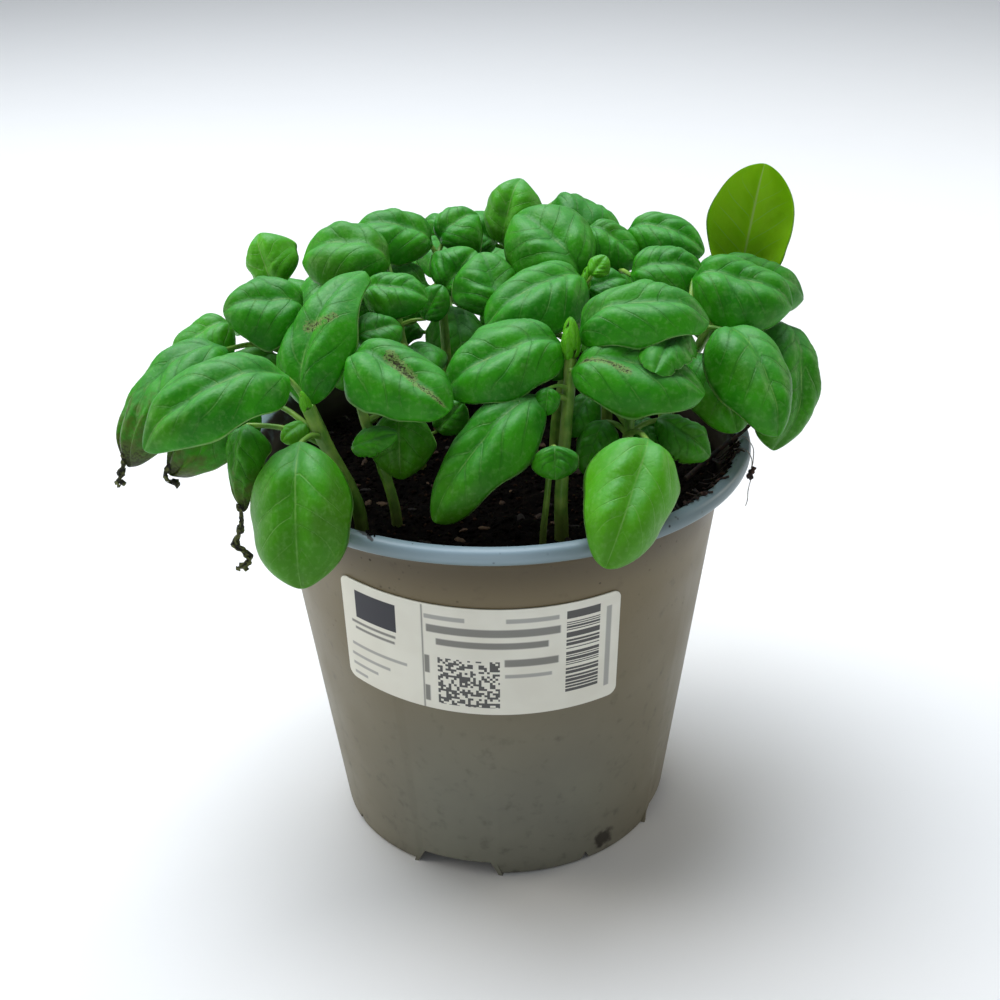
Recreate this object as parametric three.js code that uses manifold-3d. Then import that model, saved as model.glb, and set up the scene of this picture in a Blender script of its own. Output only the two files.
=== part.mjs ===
// A basil plant in a round plastic pot: pot with rolled rim and drained foot, paper label on
// the wall, soil filling, and the leafy stems that stand in plain holes in the soil.
// Millimetres, +Z up. The origin is the centre of the pot's underside, +X is to the right and
// -Y is towards the viewer, who sees the label.
import * as THREE from "three";
import { mergeVertices } from "three/addons/utils/BufferGeometryUtils.js";
import Module from "manifold-3d";

const wasm = await Module();
wasm.setup();

// Driving dimensions.
const POT_HEIGHT = 117;
const RIM_RADIUS = 70;
const BASE_RADIUS = 48.2;
const WALL_TOP_RADIUS = 62.3; // where the straight wall ends
const WALL_TOP_Z = 108;
const WALL_THICKNESS = 1.1;
const FLOOR_THICKNESS = 1.2;
const SOIL_Z = 105;
const SOIL_GAP = 0.3; // between the pot and its filling
const STEM_GAP = 0.35; // between a stem and its hole
const HOLE_FLOOR_Z = 88; // where a stem ends in the soil
const HOLE_TOP_Z = 125; // above the soil all over
const CHIP_COUNT = 14; // of bark and grit on the soil
const LATHE_SIDES = 60;
const BLADE_THICKNESS = 0.7;
const SMALL_WIDTH = 13; // blades narrower than this are built simpler
const TAIL_RADIUS = 0.45; // of a withered tip
const BULGE = 0.12; // height of a blade's halves beside the midrib, as a share of the half-width
const TUNNEL_INNER_RADIUS = 31; // drain channels run from here out through the wall
const WIDE_TUNNEL = { width: 24, height: 4.5, hole: 4, angles: [73, 163, 253, 343] };
const SMALL_TUNNEL = { width: 3.2, height: 3, hole: 0, angles: [28, 118, 208, 298] };
const LABEL = { angle: 263.3, z: 78.2, width: 77, height: 35.2, tilt: -1.6, lift: 0.25, thick: 0.6 };
const LABEL_CORNER = 2.5;

const WALL_SLOPE = (WALL_TOP_RADIUS - BASE_RADIUS) / WALL_TOP_Z;
const wallRadius = (z) => BASE_RADIUS + WALL_SLOPE * z;
const radians = THREE.MathUtils.degToRad;
const vector = (list) => new THREE.Vector3(list[0], list[1], list[2]);

// A repeatable stream of numbers from 0 up to 1.
function randomFrom(seed) {
  let state = seed;
  return () => {
    state = (state * 1664525 + 1013904223) % 4294967296;
    return state / 4294967296;
  };
}

// The unit direction at an azimuth and an elevation in degrees.
function direction(azimuth, elevation) {
  const flat = Math.cos(radians(elevation));
  return new THREE.Vector3(
    Math.cos(radians(azimuth)) * flat,
    Math.sin(radians(azimuth)) * flat,
    Math.sin(radians(elevation)),
  );
}

// Solids: a three.js geometry becomes a body that can be joined and cut.
function solid(geometry) {
  const plain = geometry.index ? geometry.toNonIndexed() : geometry.clone();
  plain.deleteAttribute("normal");
  plain.deleteAttribute("uv");
  const merged = mergeVertices(plain, 1e-4);
  return new wasm.Manifold(
    new wasm.Mesh({
      numProp: 3,
      vertProperties: merged.attributes.position.array,
      triVerts: new Uint32Array(merged.index.array),
    }),
  );
}

function geometryOf(body) {
  const mesh = body.getMesh();
  const geometry = new THREE.BufferGeometry();
  geometry.setAttribute("position", new THREE.BufferAttribute(mesh.vertProperties, 3));
  geometry.setIndex(new THREE.BufferAttribute(mesh.triVerts, 1));
  geometry.computeVertexNormals();
  return geometry;
}

function geometryFrom(points, triangles) {
  const positions = new Float32Array(triangles.length * 9);
  triangles.forEach((triangle, i) => {
    triangle.forEach((corner, j) => points[corner].toArray(positions, i * 9 + j * 3));
  });
  const geometry = new THREE.BufferGeometry();
  geometry.setAttribute("position", new THREE.BufferAttribute(positions, 3));
  return geometry;
}

// A profile of [radius, z] pairs turned round the Z axis.
function turned(profile) {
  const points = profile.map(([radius, z]) => new THREE.Vector2(radius, z));
  return solid(new THREE.LatheGeometry(points, LATHE_SIDES).rotateX(Math.PI / 2));
}

// An upright cylinder between two heights.
function cylinder(x, y, radius, bottom, top, sides) {
  const geometry = new THREE.CylinderGeometry(radius, radius, top - bottom, sides);
  geometry.rotateX(Math.PI / 2);
  geometry.translate(x, y, (top + bottom) / 2);
  return solid(geometry);
}

// A drain channel with slanted ends, as a solid to join or to cut, grown by a margin.
function tunnel(kind, angle, margin, outerRadius) {
  const half = kind.width / 2 + margin;
  const top = kind.height + margin;
  const shape = new THREE.Shape();
  shape.moveTo(-half, -2);
  shape.lineTo(half, -2);
  shape.lineTo(half, 0);
  shape.lineTo(half - kind.height / 2, top);
  shape.lineTo(-half + kind.height / 2, top);
  shape.lineTo(-half, 0);
  shape.closePath();
  const start = TUNNEL_INNER_RADIUS - margin;
  const depth = outerRadius - start;
  const geometry = new THREE.ExtrudeGeometry(shape, { depth, bevelEnabled: false });
  geometry.rotateX(Math.PI / 2);
  geometry.translate(0, outerRadius, 0);
  geometry.rotateZ(radians(angle - 90));
  return solid(geometry);
}

const TUNNELS = [WIDE_TUNNEL, SMALL_TUNNEL].flatMap((kind) =>
  kind.angles.map((angle) => ({ kind, angle })),
);

// The pot: outer skin with collar and rolled rim, hollow inside, channels under the floor.
function makePot() {
  const outer = turned([
    [0, 0],
    [BASE_RADIUS - 0.8, 0],
    [BASE_RADIUS, 0.8],
    [WALL_TOP_RADIUS, WALL_TOP_Z],
    [WALL_TOP_RADIUS + 1.3, WALL_TOP_Z + 1.8],
    [WALL_TOP_RADIUS + 2, POT_HEIGHT - 4.3],
    [RIM_RADIUS - 0.8, POT_HEIGHT - 4.3],
    [RIM_RADIUS, POT_HEIGHT - 2.7],
    [RIM_RADIUS - 0.8, POT_HEIGHT - 0.7],
    [RIM_RADIUS - 2.8, POT_HEIGHT],
    [RIM_RADIUS - 4.4, POT_HEIGHT - 1.2],
    [RIM_RADIUS - 6, POT_HEIGHT - 4.4],
    [0, POT_HEIGHT - 4.4],
  ]);
  const inside = turned([
    [0, FLOOR_THICKNESS],
    [wallRadius(FLOOR_THICKNESS) - WALL_THICKNESS - 1, FLOOR_THICKNESS],
    [wallRadius(3) - WALL_THICKNESS, 3],
    [WALL_TOP_RADIUS - WALL_THICKNESS, WALL_TOP_Z],
    [WALL_TOP_RADIUS + 0.5, WALL_TOP_Z + 3],
    [RIM_RADIUS - 6, POT_HEIGHT - 4],
    [RIM_RADIUS - 6, POT_HEIGHT + 1],
    [0, POT_HEIGHT + 1],
  ]);
  let pot = outer.subtract(inside);
  for (const { kind, angle } of TUNNELS) {
    const roof = tunnel(kind, angle, FLOOR_THICKNESS, BASE_RADIUS - 0.6);
    pot = pot.add(roof.intersect(outer));
  }
  for (const { kind, angle } of TUNNELS) {
    pot = pot.subtract(tunnel(kind, angle, 0, BASE_RADIUS + 5));
    if (kind.hole > 0) {
      const at = direction(angle, 0).multiplyScalar(TUNNEL_INNER_RADIUS + 8);
      pot = pot.subtract(cylinder(at.x, at.y, kind.hole, 1, kind.height + 5, 16));
    }
  }
  return pot;
}

// The label: a flat rounded rectangle wrapped on the cone of the wall.
function makeLabel() {
  const lean = Math.atan(WALL_SLOPE);
  const apexDistance = wallRadius(LABEL.z) / Math.sin(lean);
  const place = (x, y, lift) => {
    const turn = radians(LABEL.tilt);
    const across = x * Math.cos(turn) - y * Math.sin(turn);
    const up = x * Math.sin(turn) + y * Math.cos(turn);
    const along = Math.hypot(across, apexDistance + up);
    const swing = Math.atan2(across, apexDistance + up) / Math.sin(lean);
    const angle = radians(LABEL.angle) + swing;
    const radius = along * Math.sin(lean) + lift * Math.cos(lean);
    const z = (along * Math.sin(lean) - BASE_RADIUS) / WALL_SLOPE - lift * Math.sin(lean);
    return new THREE.Vector3(radius * Math.cos(angle), radius * Math.sin(angle), z);
  };
  const columns = 24;
  const points = [];
  const levels = [LABEL.lift, LABEL.lift + LABEL.thick];
  for (const lift of levels) {
    for (let i = 0; i <= columns; i++) {
      const x = (i / columns - 0.5) * LABEL.width;
      const fromEnd = LABEL.width / 2 - Math.abs(x);
      const inset = Math.max(0, LABEL_CORNER - fromEnd);
      const cut = LABEL_CORNER - Math.sqrt(LABEL_CORNER ** 2 - inset ** 2);
      const half = LABEL.height / 2 - cut;
      points.push(place(x, -half, lift), place(x, half, lift));
    }
  }
  const triangles = [];
  const quad = (a, b, c, d) => triangles.push([a, b, c], [a, c, d]);
  const layer = 2 * (columns + 1);
  for (let i = 0; i < columns; i++) {
    const low = 2 * i;
    quad(layer + low, layer + low + 2, layer + low + 3, layer + low + 1);
    quad(low, low + 1, low + 3, low + 2);
    quad(low, low + 2, layer + low + 2, layer + low);
    quad(low + 1, layer + low + 1, layer + low + 3, low + 3);
  }
  quad(0, layer, layer + 1, 1);
  const end = 2 * columns;
  quad(end, end + 1, layer + end + 1, layer + end);
  return solid(geometryFrom(points, triangles));
}

// Height of the soil's surface: low waves, and a bank against the wall on the right.
function soilHeight(x, y) {
  const waves = 0.9 * Math.sin(x * 0.21 + 1.3) * Math.cos(y * 0.17) + 0.6 * Math.sin(y * 0.33 + x * 0.1);
  const towardsBank = Math.max(0, (x * 0.9 - y * 0.3 - 38) / 20);
  return SOIL_Z + waves + 4.5 * Math.min(1, towardsBank) ** 2;
}

// The filling: sides follow the pot's inside, top rings follow the surface height.
function makeSoil(stems) {
  const sides = 32;
  const insideRadius = (z) => wallRadius(z) - WALL_THICKNESS - SOIL_GAP;
  const rings = [
    [insideRadius(3) - 1.2, () => FLOOR_THICKNESS + SOIL_GAP],
    [insideRadius(4), () => 4],
    [insideRadius(100), () => 100],
    [insideRadius(SOIL_Z) - 0.3, (x, y) => soilHeight(x, y) - 0.4],
    [50, soilHeight],
    [38, soilHeight],
    [26, soilHeight],
    [13, soilHeight],
  ];
  const points = [new THREE.Vector3(0, 0, FLOOR_THICKNESS + SOIL_GAP)];
  for (const [radius, height] of rings) {
    for (let i = 0; i < sides; i++) {
      const angle = (2 * Math.PI * i) / sides;
      const x = radius * Math.cos(angle);
      const y = radius * Math.sin(angle);
      points.push(new THREE.Vector3(x, y, height(x, y)));
    }
  }
  points.push(new THREE.Vector3(0, 0, soilHeight(0, 0)));
  const last = points.length - 1;
  const triangles = [];
  for (let i = 0; i < sides; i++) {
    const next = (i + 1) % sides;
    triangles.push([0, 1 + next, 1 + i]);
    for (let ring = 0; ring < rings.length - 1; ring++) {
      const a = 1 + ring * sides;
      triangles.push([a + i, a + next, a + sides + next], [a + i, a + sides + next, a + sides + i]);
    }
    triangles.push([last - sides + i, last - sides + next, last]);
  }
  let soil = solid(geometryFrom(points, triangles));
  soil = addChips(soil);
  for (const { kind, angle } of TUNNELS) {
    soil = soil.subtract(tunnel(kind, angle, FLOOR_THICKNESS + SOIL_GAP, BASE_RADIUS + 5));
  }
  for (const stem of stems) {
    const [x, y] = stem.path[0];
    const bottom = HOLE_FLOOR_Z - SOIL_GAP;
    soil = soil.subtract(cylinder(x, y, stem.radius + STEM_GAP, bottom, HOLE_TOP_Z, 8));
  }
  return soil;
}

// Bark and grit: small flat lumps, sunk by more than half into the surface.
function addChips(soil) {
  const random = randomFrom(7);
  let filled = soil;
  for (let i = 0; i < CHIP_COUNT; i++) {
    const angle = 2 * Math.PI * random();
    const radius = 56 * Math.sqrt(random());
    const size = 1.2 + 1.8 * random();
    const chip = new THREE.OctahedronGeometry(size, 0);
    chip.scale(1, 0.6 + 0.3 * random(), 0.5);
    chip.rotateX(0.7 * random() - 0.35);
    chip.rotateZ(Math.PI * random());
    const x = radius * Math.cos(angle);
    const y = radius * Math.sin(angle);
    chip.translate(x, y, soilHeight(x, y) - 0.1 * size);
    filled = filled.add(solid(chip));
  }
  return filled;
}

// The half-width of a blade along its length, from 0 at the base over 1 to 0 at the tip.
const bladeOutline = (s) => Math.sqrt(Math.max(0, Math.sin(Math.PI * s ** 0.88)));

// The frame of a blade: its midrib is an arc from base to tip that bows towards the face
// direction; it returns the point, the normal and the sideways direction at each share s.
function bladeFrame(leaf) {
  const chord = leaf.tip.clone().sub(leaf.base);
  const length = chord.length();
  const forward = chord.divideScalar(length);
  const face = direction(leaf.azimuth, leaf.elevation);
  const up = face.addScaledVector(forward, -face.dot(forward)).normalize();
  const side = up.clone().cross(forward);
  const bend = radians(leaf.arch);
  const arc = (length * (bend / 2)) / Math.sin(bend / 2);
  return (s) => {
    const slope = bend / 2 - bend * s;
    const ahead = (Math.sin(bend / 2) - Math.sin(slope)) / bend;
    const rise = (Math.cos(slope) - Math.cos(bend / 2)) / bend;
    const point = leaf.base.clone();
    point.addScaledVector(forward, arc * ahead).addScaledVector(up, arc * rise);
    const normal = up.clone().multiplyScalar(Math.cos(slope));
    normal.addScaledVector(forward, -Math.sin(slope));
    return { point, normal, side };
  };
}

// Corners of a leaf's cross-sections: the upper side from edge to edge, then the lower side
// back, which draws together below the tip. The stalk's sections have the same count, gathered
// in four places up to the neck.
function bladeSection(leaf, frameAt, s, columns) {
  const curl = radians(leaf.cup);
  const half = (leaf.width / 2) * bladeOutline(s);
  const { point, normal, side } = frameAt(s);
  const upper = [];
  const lower = [];
  for (let j = 0; j <= columns; j++) {
    const v = (2 * j) / columns - 1;
    const bulge = BULGE * half * Math.sin(Math.PI * Math.abs(v));
    const rise = (-half * (1 - Math.cos(curl * v))) / curl + bulge;
    const corner = point.clone();
    corner.addScaledVector(side, (half * Math.sin(curl * v)) / curl);
    corner.addScaledVector(normal, rise);
    const lean = curl * v * bladeOutline(s);
    const outward = normal.clone().multiplyScalar(Math.cos(lean));
    outward.addScaledVector(side, Math.sin(lean));
    upper.push(corner);
    lower.unshift(corner.clone().addScaledVector(outward, -BLADE_THICKNESS));
  }
  return [...upper, ...lower];
}

function stalkSection(centre, along, side, radius, columns, places) {
  const across = side.clone().addScaledVector(along, -side.dot(along)).normalize();
  const up = along.clone().cross(across);
  const count = 2 * (columns + 1);
  const corners = [];
  for (let k = 0; k < count; k++) {
    const place = Math.floor((k * places) / count);
    const angle = Math.PI - (2 * Math.PI * (place + 0.5)) / places;
    const corner = centre.clone();
    corner.addScaledVector(across, radius * Math.cos(angle));
    corner.addScaledVector(up, radius * Math.sin(angle));
    corners.push(corner);
  }
  return corners;
}

// Sections joined to one closed body; equal corners of a narrow section merge.
function lofted(sections) {
  const count = sections[0].length;
  const points = sections.flat();
  const triangles = [];
  const add = (a, b, c) => {
    const equal = (i, j) => points[i].distanceTo(points[j]) < 1e-3;
    if (!equal(a, b) && !equal(b, c) && !equal(c, a)) {
      triangles.push([a, b, c]);
    }
  };
  for (let k = 0; k < count; k++) {
    const next = (k + 1) % count;
    for (let i = 0; i < sections.length - 1; i++) {
      const low = i * count;
      const high = low + count;
      add(low + k, high + k, low + next);
      add(low + next, high + k, high + next);
    }
  }
  const last = points.length - count;
  for (let k = 1; k < count - 1; k++) {
    add(0, k, k + 1);
    add(last, last + k + 1, last + k);
  }
  return solid(geometryFrom(points, triangles));
}

// A leaf: the stalk rises from the stem in a low bow and widens into the blade, whose two
// halves bulge beside the sunken midrib and turn down to their edges. A withered tip hangs on
// as a thin tail through further points.
function leafBody(stem, leaf) {
  const small = leaf.width < SMALL_WIDTH;
  const rows = small ? 4 : 5;
  const columns = small || leaf.plain ? 2 : 4;
  const frameAt = bladeFrame(leaf);
  const top = stem.path[stem.path.length - 1][2];
  const level = stemPoint(stem, Math.min(leaf.base.z, top));
  const reach = Math.hypot(leaf.base.x - level.x, leaf.base.y - level.y);
  const start = stemPoint(stem, Math.min(top - 1, leaf.base.z - 0.35 * reach));
  const middle = start.clone().lerp(leaf.base, 0.5);
  middle.z += 0.08 * start.distanceTo(leaf.base);
  const neck = frameAt(0);
  neck.point.addScaledVector(neck.normal, -BLADE_THICKNESS / 2);
  const radius = small ? 0.6 : 0.85;
  const rise = middle.clone().sub(start).normalize();
  const through = neck.point.clone().sub(start).normalize();
  const ahead = neck.normal.clone().cross(neck.side).negate();
  const arrive = ahead.add(neck.point.clone().sub(middle).normalize()).normalize();
  const sections = [
    stalkSection(start, rise, neck.side, radius, columns, 4),
    stalkSection(middle, through, neck.side, radius, columns, 4),
    stalkSection(neck.point, arrive, neck.side, 0.85 * radius, columns, 2 * (columns + 1)),
  ];
  const lastRow = leaf.tail.length > 0 ? rows - 1 : rows;
  for (let i = 1; i <= lastRow; i++) {
    const s = (1 - Math.cos((Math.PI * i) / rows)) / 2;
    sections.push(bladeSection(leaf, frameAt, s, columns));
  }
  let before = frameAt(0.9).point;
  for (const point of leaf.tail) {
    const along = point.clone().sub(before).normalize();
    sections.push(stalkSection(point, along, neck.side, TAIL_RADIUS, columns, 4));
    before = point;
  }
  return lofted(sections);
}

// A round bar through the given points with a radius at each, closed at both ends.
function bar(points, radii, sides) {
  const rings = [];
  let across = new THREE.Vector3(0, 0, 1);
  points.forEach((point, i) => {
    const before = points[Math.max(0, i - 1)];
    const after = points[Math.min(points.length - 1, i + 1)];
    const along = after.clone().sub(before).normalize();
    if (i === 0 && Math.abs(along.z) > 0.9) {
      across = new THREE.Vector3(1, 0, 0);
    }
    across = across.clone().addScaledVector(along, -across.dot(along)).normalize();
    const third = along.clone().cross(across);
    const ring = [];
    for (let k = 0; k < sides; k++) {
      const angle = (2 * Math.PI * k) / sides;
      const corner = point.clone();
      corner.addScaledVector(across, radii[i] * Math.cos(angle));
      corner.addScaledVector(third, radii[i] * Math.sin(angle));
      ring.push(corner);
    }
    rings.push(ring);
  });
  const corners = [...rings.flat(), points[0], points[points.length - 1]];
  const first = corners.length - 2;
  const last = corners.length - 1;
  const triangles = [];
  for (let k = 0; k < sides; k++) {
    const next = (k + 1) % sides;
    for (let i = 0; i < points.length - 1; i++) {
      const a = i * sides;
      triangles.push([a + k, a + next, a + sides + next], [a + k, a + sides + next, a + sides + k]);
    }
    triangles.push([first, next, k]);
    const top = (points.length - 1) * sides;
    triangles.push([last, top + k, top + next]);
  }
  return solid(geometryFrom(corners, triangles));
}

// The point of a stem at a height.
function stemPoint(stem, z) {
  const path = stem.path;
  let i = 1;
  while (i < path.length - 1 && path[i][2] < z) {
    i++;
  }
  const low = vector(path[i - 1]);
  const high = vector(path[i]);
  const share = THREE.MathUtils.clamp((z - low.z) / (high.z - low.z), 0, 1);
  return low.lerp(high, share);
}

// A leafy stem: the stem, its leaves with their stalks and its buds, joined to one body.
function makeLeafyStem(stem) {
  const points = stem.path.map(vector);
  points.unshift(new THREE.Vector3(stem.path[0][0], stem.path[0][1], HOLE_FLOOR_Z));
  const radii = points.map((_, i) => stem.radius * (1 - 0.3 * (i / (points.length - 1))));
  radii[1] = stem.radius;
  let body = bar(points, radii, 6);
  for (const leaf of stem.leaves) {
    body = body.add(leafBody(stem, leaf));
  }
  for (const bud of stem.buds) {
    body = body.add(makeBud(bud));
  }
  return body;
}

// A bud: a slim pointed body, thick in its lower third.
function makeBud(bud) {
  const foot = vector(bud.foot);
  const tip = vector(bud.tip);
  const shares = [0, 0.3, 0.65, 0.97];
  const widths = [0.45, 1, 0.75, 0.12];
  const points = shares.map((share) => foot.clone().lerp(tip, share));
  return bar(points, widths.map((width) => width * bud.radius), 4);
}

// One leaf: base and tip of the midrib, width, direction that its upper face looks in
// (azimuth and elevation), how far the midrib bends, how far the halves turn down, and the
// points of a withered tail.
const leaf = (base, tip, width, azimuth, elevation, arch, cup, tail = []) => ({
  base: vector(base),
  tip: vector(tip),
  width,
  azimuth,
  elevation,
  arch,
  cup,
  tail: tail.map(vector),
});

const bud = (foot, tip, radius) => ({ foot, tip, radius });

// The withered tails of three leaves at the left, from the blade's tip on.
const LONG_TAIL = [
  [-66, -50, 117],
  [-67, -50, 113],
  [-66, -51, 108],
  [-68, -51, 104],
  [-65, -51, 102],
  [-66, -50, 99],
];
const SHORT_TAIL = [[-85, -38, 124], [-85, -38, 121.5], [-84, -38, 119.5]];
const OUTER_TAIL = [[-96, -36, 125], [-97, -36, 122.5], [-96, -37, 120], [-97, -37, 118]];

// The stems that the viewer sees, each leaf set by hand.
const SEEN_STEMS = [
  {
    name: "basil_stem_front_left",
    radius: 1.9,
    path: [[-36, -36, 107], [-38, -37, 118], [-44, -40, 134], [-47, -41, 146]],
    leaves: [
      leaf([-47, -50, 138], [-48, -70, 107], 31, 266, 30, 50, 60),
      leaf([-63, -39, 138], [-66, -50, 117], 18, 228, 20, 50, 110, LONG_TAIL),
      leaf([-62, -28, 141], [-85, -38, 124], 24, 240, 35, 60, 70, SHORT_TAIL),
      leaf([-51, -40, 151], [-86, -56, 141], 29, 262, 64, 90, 50),
      leaf([-49, -35, 141], [-34, -8, 167], 27, 232, 42, 75, 45),
      leaf([-48, -38, 137], [-54, -43, 135], 8, 250, 60, 50, 50),
    ],
    buds: [bud([-47, -41, 143], [-48, -42, 152], 1.6)],
  },
  {
    name: "basil_stem_front_middle",
    radius: 1.6,
    path: [[-27, -33, 107], [-29, -32, 118], [-35, -29, 138], [-37, -24, 151]],
    leaves: [
      leaf([-34, -30, 151], [-10, -47, 144], 31, 285, 58, 55, 55),
      leaf([-25, -30, 137], [-25, -37, 120], 20, 268, 40, 60, 50),
      leaf([-37, -40, 131], [-25, -44, 137], 9, 275, 45, 40, 50),
      leaf([-16, -22, 127], [-9, -24, 136], 12, 285, 45, 30, 50),
      leaf([-36, -20, 153], [-24, -14, 154], 15, 285, 55, 50, 50),
    ],
    buds: [],
  },
  {
    name: "basil_stem_left",
    radius: 1.7,
    path: [[-45, -10, 107], [-47, -10, 120], [-55, -7, 140], [-59, -3, 152]],
    leaves: [
      leaf([-70, -17, 150], [-96, -36, 125], 28, 213, 55, 95, 60, OUTER_TAIL),
      leaf([-70, -5, 152], [-86, -12, 144], 21, 235, 55, 50, 50),
      leaf([-50, -8, 156], [-71, -14, 159], 29, 262, 60, 80, 60),
      leaf([-58, -8, 144], [-73, -20, 141], 19, 262, 60, 50, 50),
      leaf([-59, 14, 155], [-65, 20, 169], 23, 225, 40, 60, 80),
    ],
    buds: [bud([-59, -3, 150], [-60, -2, 157], 1.4)],
  },
  {
    name: "basil_stem_centre_left",
    radius: 1.6,
    path: [[-22, 2, 107], [-23, 2, 122], [-26, 3, 145], [-28, 4, 157]],
    leaves: [
      leaf([-28, 8, 163], [-53, 12, 164], 31, 266, 68, 100, 60),
      leaf([-35, -4, 160], [-17, -8, 159], 19, 283, 60, 70, 60),
      leaf([-24, -6, 144], [-16, -18, 143], 17, 285, 60, 50, 50),
      leaf([-19, 0, 150], [-14, 2, 159], 10, 270, 50, 30, 40),
      leaf([-33, 4, 152], [-52, 2, 154], 17, 266, 60, 60, 55),
    ],
    buds: [],
  },
  {
    name: "basil_stem_back_left",
    radius: 1.5,
    path: [[-14, 24, 107], [-14, 24, 122], [-15, 25, 145], [-16, 26, 158]],
    leaves: [
      leaf([-17, 27, 162], [-39, 26, 168], 25, 270, 68, 80, 60),
      leaf([-18, 20, 148], [-39, 15, 149], 20, 270, 60, 50, 50),
      leaf([-15, 31, 161], [-4, 34, 169], 20, 290, 65, 80, 50),
      leaf([-15, 14, 155], [-5, 20, 163], 18, 300, 50, 40, 50),
    ],
    buds: [],
  },
  {
    name: "basil_stem_centre",
    radius: 1.7,
    path: [[16, 2, 107], [17, 2, 122], [21, 3, 143], [24, 5, 156]],
    leaves: [
      leaf([24, 2, 160], [-3, -14, 154], 28, 254, 62, 65, 50),
      leaf([24, 10, 157], [6, 26, 172], 32, 262, 56, 75, 50),
      leaf([24, 8, 153], [36, 11, 157], 17, 290, 60, 50, 50),
      leaf([26, 4, 160], [30, 6, 165], 7, 290, 60, 30, 30),
      leaf([1, 4, 150], [-3, 16, 164], 17, 285, 40, 50, 60),
    ],
    buds: [bud([24, 5, 154], [25, 6, 162], 1.4)],
  },
  {
    name: "basil_stem_back_centre",
    radius: 1.5,
    path: [[6, 38, 107], [6, 38, 124], [7, 40, 146], [8, 41, 160]],
    leaves: [
      leaf([3, 36, 159], [8, 42, 177], 24, 252, 30, 70, 70),
      leaf([-1, 44, 158], [-7, 46, 165], 12, 200, 50, 40, 40),
      leaf([17, 46, 168], [38, 40, 160], 22, 60, 72, 60, 50),
    ],
    buds: [],
  },
  {
    name: "basil_stem_back_right",
    radius: 1.6,
    path: [[32, 22, 107], [32, 22, 122], [33, 24, 145], [34, 25, 158]],
    leaves: [
      leaf([28, 26, 163], [41, 22, 157], 17, 300, 58, 50, 50),
      leaf([37, 10, 158], [58, 9, 158], 24, 270, 60, 80, 50),
      leaf([38, 36, 162], [60, 28, 158], 21, 275, 62, 80, 50),
      leaf([36, 18, 146], [50, 10, 145], 18, 290, 60, 50, 50),
    ],
    buds: [],
  },
  {
    name: "basil_stem_right",
    radius: 1.7,
    path: [[44, -8, 108], [45, -8, 122], [49, -7, 140], [52, -5, 151]],
    leaves: [
      leaf([47, -18, 153], [39, -41, 151], 17, 272, 55, 40, 40),
      leaf([61, -9, 149], [74, -36, 130], 27, 308, 46, 75, 60),
      leaf([54, -8, 142], [63, -26, 127], 21, 290, 40, 40, 50),
      leaf([53, 3, 159], [78, -2, 154], 26, 278, 60, 70, 50),
    ],
    buds: [],
  },
  {
    name: "basil_stem_far_right",
    radius: 1.7,
    path: [[49, 16, 109], [51, 16, 122], [60, 15, 140], [64, 15, 150]],
    leaves: [
      leaf([60, 12, 157], [85, 12, 150], 22, 285, 66, 70, 50),
      leaf([69, 23, 152], [74, 23, 185], 27, 80, 10, 30, 30),
      leaf([80, 10, 142], [76, -12, 114], 28, 325, 35, 80, 60),
    ],
    buds: [],
  },
  {
    name: "basil_stem_front_right",
    radius: 1.8,
    path: [[16, -41, 107], [16, -40, 118], [18, -31, 138], [19, -27, 149]],
    leaves: [
      leaf([10, -36, 143], [-17, -54, 117], 25, 238, 50, 55, 55),
      leaf([17, -25, 152], [-14, -33, 143], 29, 262, 62, 80, 50),
      leaf([19, -30, 147], [53, -36, 143], 27, 282, 68, 65, 50),
      leaf([21, -22, 153], [55, -25, 158], 28, 276, 72, 100, 50),
      leaf([18, -22, 149], [13, -28, 144], 9, 265, 50, 40, 50),
      leaf([13, -36, 145], [12, -40, 139], 8, 265, 50, 40, 50),
    ],
    buds: [bud([19, -27, 147], [19, -26, 160], 2.6)],
  },
  {
    name: "basil_stem_front_low",
    radius: 1.5,
    path: [[31, -35, 107], [31, -35, 116], [33, -34, 128], [34, -33, 137]],
    leaves: [
      leaf([37, -48, 136], [25, -74, 114], 30, 272, 32, 55, 60),
      leaf([28, -30, 133], [22, -38, 121], 14, 240, 40, 50, 50),
      leaf([25, -22, 137], [18, -31, 129], 12, 240, 40, 50, 50),
      leaf([41, -30, 133], [55, -34, 124], 15, 285, 50, 40, 50),
      leaf([37, -26, 131], [40, -34, 127], 11, 290, 50, 40, 50),
    ],
    buds: [],
  },
  {
    name: "basil_stem_rear_far_right",
    radius: 1.5,
    path: [[43, 32, 107], [45, 34, 120], [51, 40, 136], [54, 42, 146]],
    leaves: [
      leaf([60, 43, 147], [83, 50, 139], 24, 20, 66, 60, 55),
      leaf([52, 50, 146], [57, 76, 136], 25, 80, 66, 70, 55),
      leaf([57, 35, 133], [78, 33, 123], 19, 0, 66, 60, 55),
      leaf([45, 46, 132], [38, 66, 125], 19, 110, 66, 60, 55),
      leaf([56, 38, 147], [68, 28, 147], 14, 310, 66, 50, 50),
    ],
    buds: [],
  },
  {
    name: "basil_seedling_front",
    radius: 0.9,
    path: [[11, -46, 107], [12, -46, 118], [13, -45, 128], [14, -45, 133]],
    leaves: [leaf([14, -47, 134], [14, -52, 127], 12, 265, 60, 30, 30)],
    buds: [],
  },
];

// The stems at the back follow one rule: pairs of leaves, each pair turned by a quarter from
// the pair below, shorter towards the top. Place, height and lean are set for each stem.
const RULED_STEMS = [
  { name: "basil_stem_rear_left", seed: 1, foot: [-37, 33], lean: [-11, 8], top: 150, turn: 0 },
  { name: "basil_stem_rear_middle", seed: 196, foot: [-13, 50], lean: [-3, 13], top: 152, turn: 0 },
  { name: "basil_stem_rear_right", seed: 14, foot: [22, 50], lean: [6, 14], top: 142, turn: 20 },
];

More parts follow.
